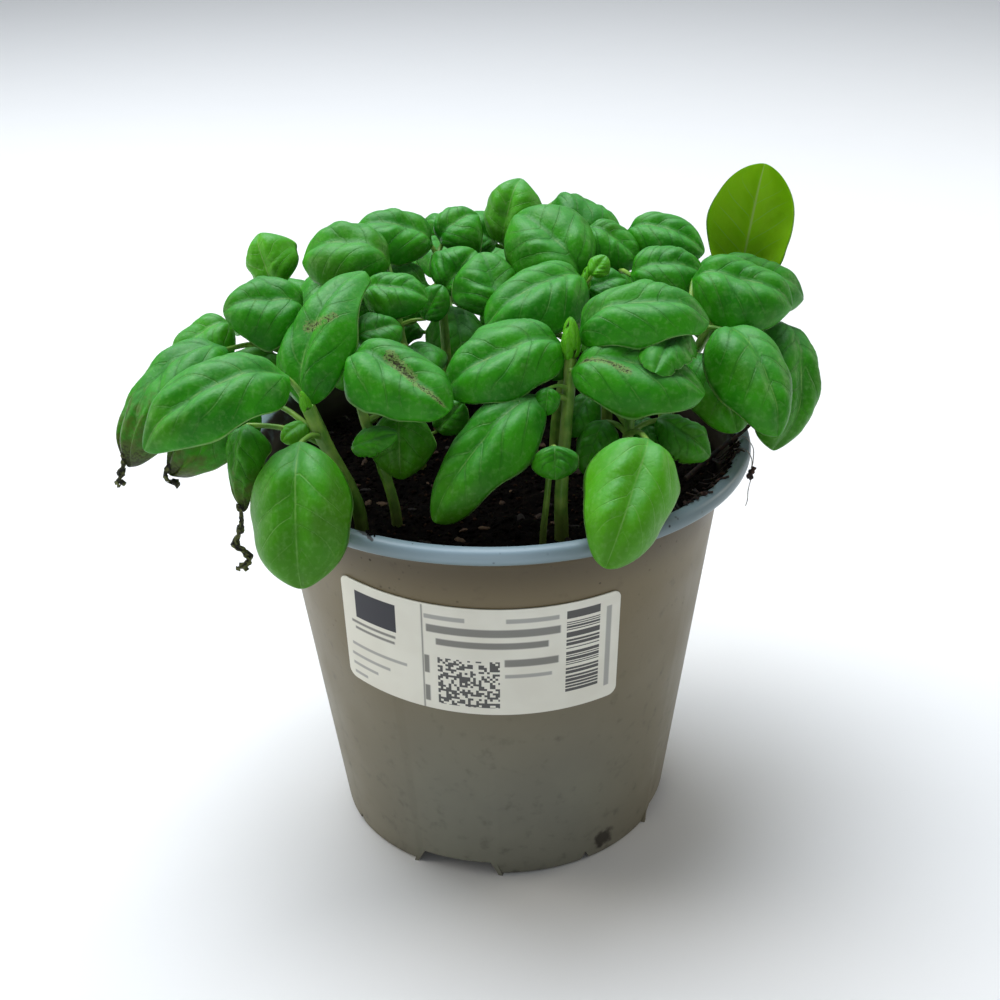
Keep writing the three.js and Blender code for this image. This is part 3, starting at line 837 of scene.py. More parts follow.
@dataclass(frozen=True)
class RootFinish:
    """Dried root fibre: thin, dull and a little streaked."""

    name: str = "root_fibre_dark"
    dark: str = "#0e0906"
    light: str = "#43281b"

    def material(self) -> Material:
        """Build the material.

        Returns:
            The fibres' material.
        """
        skin = Skin(self.name)
        grain = skin.cloud(1.6, 3.0)
        colour = skin.coated(self.dark, (grain.eased(0.4, 0.7), self.light))
        return skin.finish(colour, 0.8, grain, 0.2)


@dataclass(frozen=True)
class LabelFinish:
    """Coated label paper with generic print: grey bars for lines, stripes, a dot block."""

    paper: str = "#e6e5d8"
    aged: str = "#d9d6c8"
    ink: str = "#26272b"
    faint: str = "#8b8c8a"
    navy: str = "#23232c"
    # Each bar: centre across and up from the label's middle, width and height in millimetres.
    dark_bars: tuple[Area, ...] = (
        (4.5, 9.8, 34.6, 2.5),
        (4.2, 5.7, 29.0, 2.1),
        (14.4, 0.0, 14.0, 2.4),
        (-13.9, -0.4, 0.4, 35.0),
        (-28.6, 3.4, 14.0, 0.9),
        (-28.2, 1.4, 12.6, 0.9),
        (-12.9, -2.4, 1.4, 6.0),
        (-12.9, -12.4, 1.4, 5.4),
    )
    faint_bars: tuple[Area, ...] = (
        (-8.0, 13.6, 10.6, 1.4),
        (14.6, 13.8, 13.6, 1.4),
        (13.6, -4.4, 12.2, 1.2),
        (-27.4, -4.8, 17.6, 1.0),
        (-30.2, -8.6, 12.8, 1.0),
        (-32.2, -12.0, 8.6, 1.0),
        (-34.0, -15.2, 4.6, 1.0),
        (35.2, 0.0, 1.5, 27.0),
    )
    badge: Area = (-27.6, 9.8, 12.6, 9.2)
    dots: Area = (-1.9, -7.4, 16.2, 15.8)
    stripes: Area = (28.0, 1.6, 9.2, 27.0)
    dot_size: float = 0.72
    stripe_size: float = 0.34

    def material(self) -> Material:
        """Build the material.

        Returns:
            The label's material, printed on the paper's own map in millimetres.
        """
        skin = Skin("label_paper_coated")
        x, y, _ = skin.unwrapped("print").parts()

        def box(area: Area, soft: float = 0.07) -> Quantity:
            """Cover a rectangle of the label.

            Args:
                area: Centre across and up, width and height in millimetres.
                soft: How far the ink spreads.

            Returns:
                1 inside and 0 outside.
            """
            across = ((x - area[0]).size() - area[2] / 2).eased(-soft, soft)
            up = ((y - area[1]).size() - area[3] / 2).eased(-soft, soft)
            return (1.0 - across) * (1.0 - up)

        def chance(at_x: Quantity | float, at_y: Quantity) -> Quantity:
            """Draw a fixed random number for each step of the print.

            Args:
                at_x: The step across.
                at_y: The step up.

            Returns:
                A number from 0 to 1.
            """
            cell = add_node(skin.tree, "ShaderNodeCombineXYZ", {0: at_x, 1: at_y})
            links = {"Vector": cell.outputs[0]}
            node = add_node(skin.tree, "ShaderNodeTexWhiteNoise", links, noise_dimensions="3D")
            return Quantity(skin.tree, node.outputs["Value"])

        dot = chance((x / self.dot_size).work("FLOOR"), (y / self.dot_size).work("FLOOR"))
        stripe = chance(7.0, (y / self.stripe_size).work("FLOOR"))
        ink = box(self.dots) * dot.work("GREATER_THAN", 0.48)
        ink = ink.work("MAXIMUM", box(self.stripes) * stripe.work("GREATER_THAN", 0.42))
        for bar in self.dark_bars:
            ink = ink.work("MAXIMUM", box(bar, 0.25) * 0.8)
        faint = box(self.faint_bars[0], 0.2)
        for bar in self.faint_bars[1:]:
            faint = faint.work("MAXIMUM", box(bar, 0.2))
        fibres = skin.cloud(0.6, 3.0)
        colour = skin.coated(
            self.paper,
            (skin.cloud(12.0, 2.0).eased(0.3, 0.7) * 0.5, self.aged),
            (faint * 0.75, self.faint),
            (ink * 0.92, self.ink),
            (box(self.badge), self.navy),
        )
        return skin.finish(colour, 0.5, fibres, 0.015, IOR=1.5)


@dataclass(frozen=True)
class FloorFinish:
    """Pale painted studio floor: matt and even."""

    light: str = "#f0f0ee"
    shade: str = "#ebebe9"

    def material(self) -> Material:
        """Build the material.

        Returns:
            The floor's material.
        """
        skin = Skin("painted_floor_matt")
        grain = skin.cloud(40.0, 2.0)
        return skin.finish(skin.coated(self.light, (grain * 0.3, self.shade)), 0.9)


# The plant


@dataclass(frozen=True)
class Scar:
    """A brown rubbed line on a blade, from one share of its length and half-width to another."""

    start: tuple[float, float]
    end: tuple[float, float]
    width: float


@dataclass(frozen=True)
class Leaf:
    """A leaf: base and tip of its midrib, width, and the azimuth and elevation that its upper
    face looks in.

    Its midrib bends by the arch and its halves turn down by the cup, both in degrees. A tail is
    a withered tip, a tint of 1 is the youngest green and paints on the underside the glow of
    light shining through, taper narrows the leaf to its tip, torn frays its edge, and lop widens
    its half on the side of its side direction.
    """

    base: Triple
    tip: Triple
    width: float
    azimuth: float
    elevation: float
    arch: float
    cup: float = 50
    tail: tuple[Triple, ...] = ()
    tint: float = 0.0
    scars: tuple[Scar, ...] = ()
    taper: float = 0.0
    torn: float = 0.0
    lop: float = 0.0


def bearing(azimuth: float, elevation: float) -> Vector:
    """Turn two angles into a unit direction.

    Args:
        azimuth: From +X towards +Y, in degrees.
        elevation: Up from level, in degrees.

    Returns:
        The direction.
    """
    turn, rise = math.radians(azimuth), math.radians(elevation)
    flat = math.cos(rise)
    return Vector((math.cos(turn) * flat, math.sin(turn) * flat, math.sin(rise)))


@dataclass
class Midrib:
    """The arc that a blade's midrib follows from base to tip, bowed towards the upper face."""

    leaf: Leaf

    def __post_init__(self) -> None:
        """Work out the blade's own directions."""
        chord = Vector(self.leaf.tip) - Vector(self.leaf.base)
        self.forward = chord.normalized()
        face = bearing(self.leaf.azimuth, self.leaf.elevation)
        self.up = (face - self.forward * face.dot(self.forward)).normalized()
        self.side = self.up.cross(self.forward)
        self.bend = math.radians(self.leaf.arch)
        self.arc = chord.length * (self.bend / 2) / math.sin(self.bend / 2)

    def at(self, share: float) -> tuple[Vector, Vector]:
        """Find a place on the midrib.

        Args:
            share: The share of the length.

        Returns:
            The point in millimetres and the normal there.
        """
        half = self.bend / 2
        slope = half - self.bend * share
        ahead = self.arc * (math.sin(half) - math.sin(slope)) / self.bend
        rise = self.arc * (math.cos(slope) - math.cos(half)) / self.bend
        point = Vector(self.leaf.base) + self.forward * ahead + self.up * rise
        return point, self.up * math.cos(slope) - self.forward * math.sin(slope)


@dataclass(frozen=True)
class Strand:
    """A line with a girth at each point, which a tube is grown round."""

    points: list[Vector]
    girths: list[float]


@dataclass(frozen=True)
class Relief:
    """How a blade's surface departs from its plain cupped arc, in shares of its half-width."""

    groove: float = 0.16
    quilting: float = 0.05
    swell: float = 0.3
    wave: float = 0.09
    shoulder: float = 0.08
    hook: float = 0.1


def curved(route: Sequence[Vector | Triple], step: float) -> list[Vector]:
    """Run a smooth curve through points.

    Args:
        route: The points in millimetres.
        step: The distance between the curve's own points.

    Returns:
        Points along the curve, the first and last as given.
    """
    points = [Vector(point) for point in route]
    padded = [points[0] * 2 - points[1], *points, points[-1] * 2 - points[-2]]
    result = []
    for i in range(1, len(padded) - 2):
        a, b, c, d = padded[i - 1 : i + 3]
        count = max(2, round((c - b).length / step))
        for k in range(count):
            t = k / count
            middle = (c - a) * t + (a * 2 - b * 5 + c * 4 - d) * t * t
            result.append(b + (middle + (b * 3 - a - c * 3 + d) * t**3) * 0.5)
    result.append(points[-1])
    return result


def tube_tree() -> NodeTree:
    """Make the tree that grows tubes round lines: stems, stalks and withered tails.

    Returns:
        The geometry tree, with the sides, the corner ridges and the material as inputs.
    """
    kinds = {"Lines": "Geometry", "Sides": "Int", "Ridges": "Float", "Skin": "Material"}
    tree, given = open_tree("tubes_round_lines", kinds)
    curve = add_node(tree, "GeometryNodeMeshToCurve", {"Mesh": given["Lines"]})
    links = {"Resolution": given["Sides"], "Radius": 1.0}
    circle = add_node(tree, "GeometryNodeCurvePrimitiveCircle", links, mode="RADIUS")
    spot = Heading(tree, add_node(tree, "GeometryNodeInputPosition").outputs[0])
    x, y, _ = spot.parts()
    corner = (y.work("ARCTAN2", x) * 4.0).work("COSINE")
    push = spot.scaled(corner * Quantity(tree, given["Ridges"]))
    links = {"Geometry": circle.outputs[0], "Offset": push}
    profile = add_node(tree, "GeometryNodeSetPosition", links)
    links = {"Curve": curve.outputs[0], "Profile Curve": profile.outputs[0]}
    links |= {"Scale": stored(tree, "girth"), "Fill Caps": True}
    tube = add_node(tree, "GeometryNodeCurveToMesh", links)
    close_tree(tree, tube.outputs[0], given["Skin"])
    return tree


def blade_tree() -> NodeTree:
    """Make the tree that grows a blade on each point by the leaf rule.

    Each point carries its leaf's directions and sizes. A grid is laid round the blade: its
    first half is the upper side from edge to edge, its second half the lower side back.

    Returns:
        The geometry tree, with the grid, the relief and the material as inputs.
    """
    kinds = {"Bases": "Geometry", "Columns": "Int", "Rows": "Int", "Thickness": "Float"}
    kinds |= {item.name: "Float" for item in fields(Relief)}
    tree, given = open_tree("blades_on_points", kinds | {"Skin": "Material"})

    def setting(name: str) -> Quantity:
        """Read one of the tree's inputs."""
        return Quantity(tree, given[name])

    links = {"Vertices X": given["Columns"], "Vertices Y": given["Rows"]}
    grid = add_node(tree, "GeometryNodeMeshGrid", {"Size X": 1.0, "Size Y": 1.0, **links})
    spot = Heading(tree, add_node(tree, "GeometryNodeInputPosition").outputs[0])
    grid_x, grid_y, _ = spot.parts()
    row = grid_y + 0.5
    share = (1.0 - (row * math.pi).work("COSINE")) * 0.5
    mesh = grid.outputs["Mesh"]
    for name, value in (("across", grid_x + 0.5), ("along", share)):
        links = {"Geometry": mesh, "Name": name, "Value": value}
        mesh = add_node(tree, "GeometryNodeStoreNamedAttribute", links, domain="POINT").outputs[0]
    links = {0: stored(tree, "across"), 1: stored(tree, "along")}
    chart = add_node(tree, "ShaderNodeCombineXYZ", links)
    links = {"Geometry": mesh, "Name": "blade", "Value": chart.outputs[0]}
    kind = {"data_type": "FLOAT2", "domain": "CORNER"}
    mesh = add_node(tree, "GeometryNodeStoreNamedAttribute", links, **kind).outputs[0]
    links = {"Points": given["Bases"], "Instance": mesh}
    instances = add_node(tree, "GeometryNodeInstanceOnPoints", links)
    real = add_node(tree, "GeometryNodeRealizeInstances", {"Geometry": instances.outputs[0]})

    along, across = stored(tree, "along"), stored(tree, "across")
    side = 1.0 - (across * 4.0 - 2.0).size()
    edge = side.size()
    sign = side.work("SIGN")
    seed = stored(tree, "seed")
    lower = across.work("GREATER_THAN", 0.5)

    def uneven(steps: float, detail: float = 0.0) -> Quantity:
        """Draw a soft number about 0 that differs along the blade and between its halves.

        Args:
            steps: How many times it changes along the blade.
            detail: How many finer layers it has.

        Returns:
            A number from about -0.4 to 0.4.
        """
        links = {0: along * steps, 1: sign * 3.3, 2: seed * 5.1}
        at = add_node(tree, "ShaderNodeCombineXYZ", links).outputs[0]
        links = {"Vector": at, "Scale": 1.0, "Detail": detail}
        return Quantity(tree, add_node(tree, "ShaderNodeTexNoise", links).outputs["Fac"]) - 0.5

    # Side veins leave the midrib forwards and curve to the tip, one each 17.5% of the length.
    # The number is whole halfway between two.
    run = along - edge * 0.26 - edge * edge * 0.1
    phase = run / 0.175 + sign * 0.25 + uneven(4.0) * 1.2
    links = {"Geometry": real.outputs[0], "Name": "phase", "Value": phase}
    numbered = add_node(tree, "GeometryNodeStoreNamedAttribute", links, domain="POINT")

    # How wide the blade is, then the arc that it follows.
    outline = ((along**0.88) * math.pi).work("SINE").work("MAXIMUM", 0.0) ** 0.46
    bites = uneven(11.0, 2.0).work("MAXIMUM", 0.0) * stored(tree, "torn")
    taper = (0.42 - along) * stored(tree, "taper")
    lop = sign * stored(tree, "lop")
    half = stored(tree, "half_width") * outline * (taper - bites + 1.0 + uneven(2.6) * 0.34 + lop)
    cup, bend, arc = stored(tree, "cup"), stored(tree, "bend"), stored(tree, "arc")
    turn = cup * side
    slope = bend * (0.5 - along)
    ahead = arc * ((bend * 0.5).work("SINE") - slope.work("SINE")) / bend
    rise = arc * (slope.work("COSINE") - (bend * 0.5).work("COSINE")) / bend

    # The relief: bulges between the veins, the sunken midrib, soft swells, the wavy edge, the
    # broad shoulder near the stalk, the hooked tip and the pleats of a dried one.
    cell = add_node(tree, "ShaderNodeCombineXYZ", {0: phase.work("ROUND"), 1: sign, 2: seed})
    kind = {"noise_dimensions": "3D"}
    own = add_node(tree, "ShaderNodeTexWhiteNoise", {"Vector": cell.outputs[0]}, **kind)
    ridge = ((phase * (2 * math.pi)).work("COSINE") * 0.5 + 0.5) ** 0.6
    ridge = ridge * (Quantity(tree, own.outputs["Value"]) * 1.3 + 0.35)
    body = (edge * 3.5).work("MINIMUM", 1.0) * (1.0 - edge**3) * along.eased(0.02, 0.12)
    quilt = ridge * body * (1.0 - along.eased(0.5, 0.95)) * setting("quilting")
    crease = (edge * edge + 0.0012) ** 0.4
    groove = (crease * math.pi).work("SINE") * along.eased(0.0, 0.12) * setting("groove")
    links = {0: along * arc * 60.0, 1: side * half * 60.0, 2: seed * 7.3}
    where = add_node(tree, "ShaderNodeCombineXYZ", links).outputs[0]
    cloud = add_node(tree, "ShaderNodeTexNoise", {"Vector": where, "Scale": 1.0, "Detail": 1.0})
    swell = (Quantity(tree, cloud.outputs["Fac"]) - 0.5) * (1.0 - edge**4 * 0.6) * setting("swell")
    beat = ((along * 1.4 + seed * 0.37 + side * 0.3) * (2 * math.pi)).work("SINE")
    wave = (beat + uneven(5.0) * 2.0) * edge**3 * setting("wave")
    hook = along.eased(0.7, 1.0) ** 2 * setting("hook")
    shoulder = ((along * 2.4).work("MINIMUM", 1.0) * math.pi).work("SINE") * setting("shoulder")
    fold = (1.0 - turn.work("COSINE")) / cup
    pleat = (side * 3 * math.pi).work("COSINE") * along.eased(0.35, 0.9) * 0.16
    pleat = pleat * stored(tree, "dry")
    lift = half * (quilt + groove + swell + wave + pleat - fold)
    lift = lift + stored(tree, "half_width") * (shoulder - hook)
    aside = half * turn.work("SINE") / cup
    ends = 1.0 - (along * 2.0 - 1.0).size() ** 10
    thin = (1.0 - edge**6) * ends * lower * setting("Thickness")
    lean = turn * outline

    # Each point moves from the grid to its place on the blade.
    directions = ("root", "forward", "up", "side")
    root, forward, up, sideways = (stored_heading(tree, name) for name in directions)
    out = lift - thin * lean.work("COSINE")
    point = root.plus(forward.scaled(ahead - slope.work("SINE") * out))
    point = point.plus(up.scaled(rise + slope.work("COSINE") * out))
    point = point.plus(sideways.scaled(aside - thin * lean.work("SINE")))
    links = {"Geometry": numbered.outputs[0], "Position": point}
    placed = add_node(tree, "GeometryNodeSetPosition", links)
    flipped = add_node(tree, "GeometryNodeFlipFaces", {"Mesh": placed.outputs[0]})
    links = {"Geometry": flipped.outputs[0], "Distance": 0.002 * MM}
    closed = add_node(tree, "GeometryNodeMergeByDistance", links)
    close_tree(tree, closed.outputs[0], given["Skin"])
    return tree


@dataclass
class Growth:
    """What all stems share: the two growing trees and the three finishes."""

    columns: int = 53
    rows: int = 45
    thickness: float = 0.5
    relief: Relief = Relief()
    leaf_finish: LeafFinish = LeafFinish()
    stalk_finish: StalkFinish = StalkFinish()
    withered_finish: WitheredFinish = WitheredFinish()

    def __post_init__(self) -> None:
        """Make the trees and the materials."""
        self.tubes, self.blades = tube_tree(), blade_tree()
        self.leaf_skin = self.leaf_finish.material()
        self.stalk_skin = self.stalk_finish.material()
        self.withered_skin = self.withered_finish.material()

    def grow_tubes(
        self, strands: Sequence[Strand], skin: Material, sides: int, ridges: float = 0.0
    ) -> Mesh:
        """Grow a tube round each strand.

        Args:
            strands: The lines with their girths.
            skin: The material.
            sides: The sides of a tube.
            ridges: The height of its four ridges, as a share of the girth.

        Returns:
            The tubes as one mesh.
        """
        points = [point for strand in strands for point in strand.points]
        edges = []
        first = 0
        for strand in strands:
            edges += [(first + i, first + i + 1) for i in range(len(strand.points) - 1)]
            first += len(strand.points)
        lines = point_cloud("tubes", points, edges)
        store(lines, "girth", np.array([g for strand in strands for g in strand.girths]) * MM)
        values = {"Sides": sides, "Ridges": ridges, "Skin": skin}
        return grown(lines, self.tubes, values)

    def grow_blades(self, leaves: Sequence[Leaf]) -> Mesh:
        """Grow the blades of a stem.

        Args:
            leaves: The leaves, in the order of their numbers.

        Returns:
            The blades as one mesh, with their tint and scars stored.
        """
        ribs = [Midrib(leaf) for leaf in leaves]
        bases = point_cloud("blades", [Vector(leaf.base) for leaf in leaves])
        measures = {
            "root": np.array([leaf.base for leaf in leaves]) * MM,
            "arc": np.array([rib.arc for rib in ribs]) * MM,
            "half_width": np.array([leaf.width / 2 for leaf in leaves]) * MM,
            "cup": np.radians([leaf.cup for leaf in leaves]),
            "seed": np.array([sum(leaf.base) * 0.731 % 10 for leaf in leaves]),
        }
        for name in ("forward", "up", "side", "bend"):
            measures[name] = np.array([getattr(rib, name) for rib in ribs])
        kept = {
            "number": np.arange(len(leaves)),
            "dry": np.array([float(bool(leaf.tail)) for leaf in leaves]),
        }
        for name in ("taper", "torn", "lop", "tint"):
            kept[name] = np.array([getattr(leaf, name) for leaf in leaves])
        for name, values in (measures | kept).items():
            store(bases, name, values)
        values = {"Columns": self.columns, "Rows": self.rows, "Thickness": self.thickness * MM}
        values |= asdict(self.relief) | {"Skin": self.leaf_skin}
        mesh = grown(bases, self.blades, values)
        self.scar(mesh, leaves)
        # How far each point faces up, which the leaves' painted sheen of the sky follows.
        normals = np.empty(3 * len(mesh.vertices), np.float32)
        mesh.vertex_normals.foreach_get("vector", normals)
        store(mesh, "bloom", np.clip(normals[2::3], 0, 1))
        for name in measures:
            mesh.attributes.remove(mesh.attributes[name])
        return mesh

    def scar(self, mesh: Mesh, leaves: Sequence[Leaf]) -> None:
        """Store how rubbed each point of the blades is.

        Args:
            mesh: The grown blades.
            leaves: Their leaves.
        """
        read = {}
        for name in ("number", "along", "across", "arc", "half_width"):
            read[name] = np.empty(len(mesh.vertices), np.float32)
            mesh.attributes[name].data.foreach_get("value", read[name])
        side = 1 - np.abs(4 * read["across"] - 2)
        spots = np.stack([read["along"] * read["arc"], side * read["half_width"]], 1) / MM
        rubbed = np.zeros(len(mesh.vertices))
        for number, leaf in enumerate(leaves):
            mine = (np.round(read["number"]) == number) & (read["across"] < 0.5)
            scale = np.array([Midrib(leaf).arc, leaf.width / 2])
            for scar in leaf.scars:
                start = np.array(scar.start) * scale
                run = np.array(scar.end) * scale - start
                ahead = np.clip((spots - start) @ run / (run @ run), 0, 1)
                gap = np.linalg.norm(spots - start - ahead[:, None] * run, axis=1)
                rubbed = np.where(mine, np.maximum(rubbed, 1 - gap / scar.width), rubbed)
        store(mesh, "scar", np.clip(rubbed, 0, 1))


@dataclass
class LeafyStem:
    """A stem with its leaves, buds and withered tips, which stands in the soil."""

    node: str
    radius: float
    path: tuple[Triple, ...]
    leaves: list[Leaf]
    buds: tuple[tuple[Triple, Triple, float], ...] = ()
    foot_z: float = 90.0
    stalk_radius: float = 0.85
    small_stalk_radius: float = 0.6
    small_width: float = 13.0
    # How far along the blade its stalk runs on underneath, in shares of its length.
    keel: tuple[float, ...] = (0.0, 0.05, 0.12, 0.24, 0.36, 0.48, 0.6, 0.7)
    short_keel: tuple[float, ...] = (0.0, 0.05, 0.12)
    folds: int = 3

    def point_at(self, z: float) -> Vector:
        """Find the stem's middle at a height.

        Args:
            z: The height in millimetres.

        Returns:
            The point, at an end of the path if the height is beyond it.
        """
        i = 1
        while i < len(self.path) - 1 and self.path[i][2] < z:
            i += 1
        low, high = Vector(self.path[i - 1]), Vector(self.path[i])
        share = (z - low.z) / (high.z - low.z)
        return low.lerp(high, min(1.0, max(0.0, share)))

    def stem_strand(self) -> Strand:
        """Lay the stem's own line.

        Returns:
            The line, thinner to the top and thicker where leaves part from it.
        """
        points = curved([(*self.path[0][:2], self.foot_z), *self.path], 1.5)
        girths = []
        for i, point in enumerate(points):
            girth = self.radius * (1 - 0.3 * i / (len(points) - 1))
            near = min((abs(point.z - self.parting(leaf).z) for leaf in self.leaves), default=9)
            girths.append(girth * (1 + 0.16 * math.exp(-((near / 2.2) ** 2))))
        return Strand(points, girths)

    def parting(self, leaf: Leaf) -> Vector:
        """Find where a leaf's stalk leaves the stem.

        Args:
            leaf: The leaf.

        Returns:
            The point, lower the farther out the leaf stands.
        """
        top = self.path[-1][2]
        level = self.point_at(min(leaf.base[2], top))
        reach = math.hypot(leaf.base[0] - level.x, leaf.base[1] - level.y)
        return self.point_at(min(top - 1, leaf.base[2] - 0.35 * reach))

    def stalk_strand(self, leaf: Leaf) -> Strand:
        """Lay a stalk's line, which runs on under the blade as its midrib.

        Args:
            leaf: The leaf.

        Returns:
            The line, thinning towards the tip.
        """
        start = self.parting(leaf)
        base = Vector(leaf.base)
        middle = start.lerp(base, 0.5) + Vector((0, 0, 0.08 * (base - start).length))
        rib = Midrib(leaf)
        radius = self.small_stalk_radius if leaf.width < self.small_width else self.stalk_radius
        under = []
        for share in self.short_keel if leaf.tint == 1.0 else self.keel:
            point, normal = rib.at(share)
            girth = radius * (0.72 - 0.62 * share)
            under.append(point - normal * (girth * 0.9 + 0.12))
        points = curved([start, middle, *under], 1.2)
        lengths = [0.0]
        for a, b in zip(points, points[1:]):
            lengths.append(lengths[-1] + (b - a).length)
        stalk = (base - start).length
        girths = []
        for length in lengths:
            if length < stalk:
                girth = radius * (1.0 - 0.28 * length / stalk + 0.35 * math.exp(-length / 1.2))
            else:
                share = (length - stalk) / rib.arc
                girth = radius * max(0.1, 0.72 - 0.78 * share)
            girths.append(girth)
        return Strand(points, girths)

    def tail_strands(self, leaf: Leaf) -> list[Strand]:
        """Lay the lines of a withered tail: folds that twist about each other, with knots.

        Args:
            leaf: The leaf.

        Returns:
            The folds' lines, parted where the tail is crumpled and frayed at its end.
        """
        rib = Midrib(leaf)
        middle = curved([rib.at(0.9)[0], *leaf.tail], 0.5)
        strands = []
        for fold in range(self.folds):
            points, girths = [], []
            for i, point in enumerate(middle):
                share = i / (len(middle) - 1)
                knot = max(0.0, noise.noise(point * 0.45 + Vector((3.1, 0, 0))))
                fray = max(0.0, share - 0.82) * 5
                turn = 2.1 * fold + 0.32 * i + 2 * noise.noise(point * 0.3)
                reach = 0.22 + 0.8 * knot + 1.1 * fray * (1 - 0.25 * fold)
                off = bearing(math.degrees(turn), 0) * reach
                off.z = 0.5 * noise.noise(point * 1.1 + Vector((fold, fold, 0)))
                points.append(point + off)
                uneven = noise.noise(point * 1.3 + Vector((0, 7.3 * fold, 0)))
                girth = (0.46 - 0.14 * share + 0.4 * knot + 0.3 * fray) * min(1, 0.6 + 4 * share)
                girths.append(max(0.14, girth * (1 + uneven)))
            strands.append(Strand(points, girths))
        return strands

    def bud_leaves(self) -> list[Leaf]:
        """Fold small blades round each bud's axis.

        Returns:
            Two pairs for each bud, the inner one higher.
        """
        folded = []
        for foot, tip, radius in self.buds:
            low, high = Vector(foot), Vector(tip)
            for i in range(4):
                inner, azimuth = i % 2, 35 + 90 * i
                outward = bearing(azimuth, 0)
                start = low.lerp(high, 0.1 + 0.2 * inner) + outward * (0.35 * radius)
                end = low.lerp(high, 0.86 + 0.14 * inner) + outward * (0.15 * radius)
                width = radius * (2.3 - 0.5 * inner)
                folded.append(Leaf(tuple(start), tuple(end), width, azimuth, 12, 70, 95, tint=0.8))
        return folded

    def build(self, growth: Growth) -> Object:
        """Grow the stem's piece and put it in the place of its solid.

        Args:
            growth: The shared trees and finishes.

        Returns:
            The piece.
        """
        stalks = [self.stalk_strand(leaf) for leaf in self.leaves]
        meshes = [
            growth.grow_tubes([self.stem_strand()], growth.stalk_skin, 16, 0.1),
            growth.grow_tubes(stalks, growth.stalk_skin, 10),
            growth.grow_blades(self.leaves + self.bud_leaves()),
        ]
        tails = [strand for leaf in self.leaves if leaf.tail for strand in self.tail_strands(leaf)]
        if tails:
            meshes.append(growth.grow_tubes(tails, growth.withered_skin, 8, 0.15))
        piece = merged(self.node.replace("basil_", "leafy_"), meshes)
        seat(piece, Part.PLANT, self.node)
        return piece


LONG_TAIL = (
    (-64.5, -50, 118.5), (-64.8, -50.5, 114.5), (-66.4, -51, 110.5),
    (-64.1, -51, 107.7), (-63.4, -51, 105.5), (-65.8, -50.5, 103),
)
SHORT_TAIL = ((-85, -38, 124), (-84.5, -38, 122.5), (-82.5, -38, 121.3))
OUTER_TAIL = ((-96, -36, 125), (-96.5, -36, 123.5), (-97.5, -36.5, 121.5), (-97, -37, 120.5))

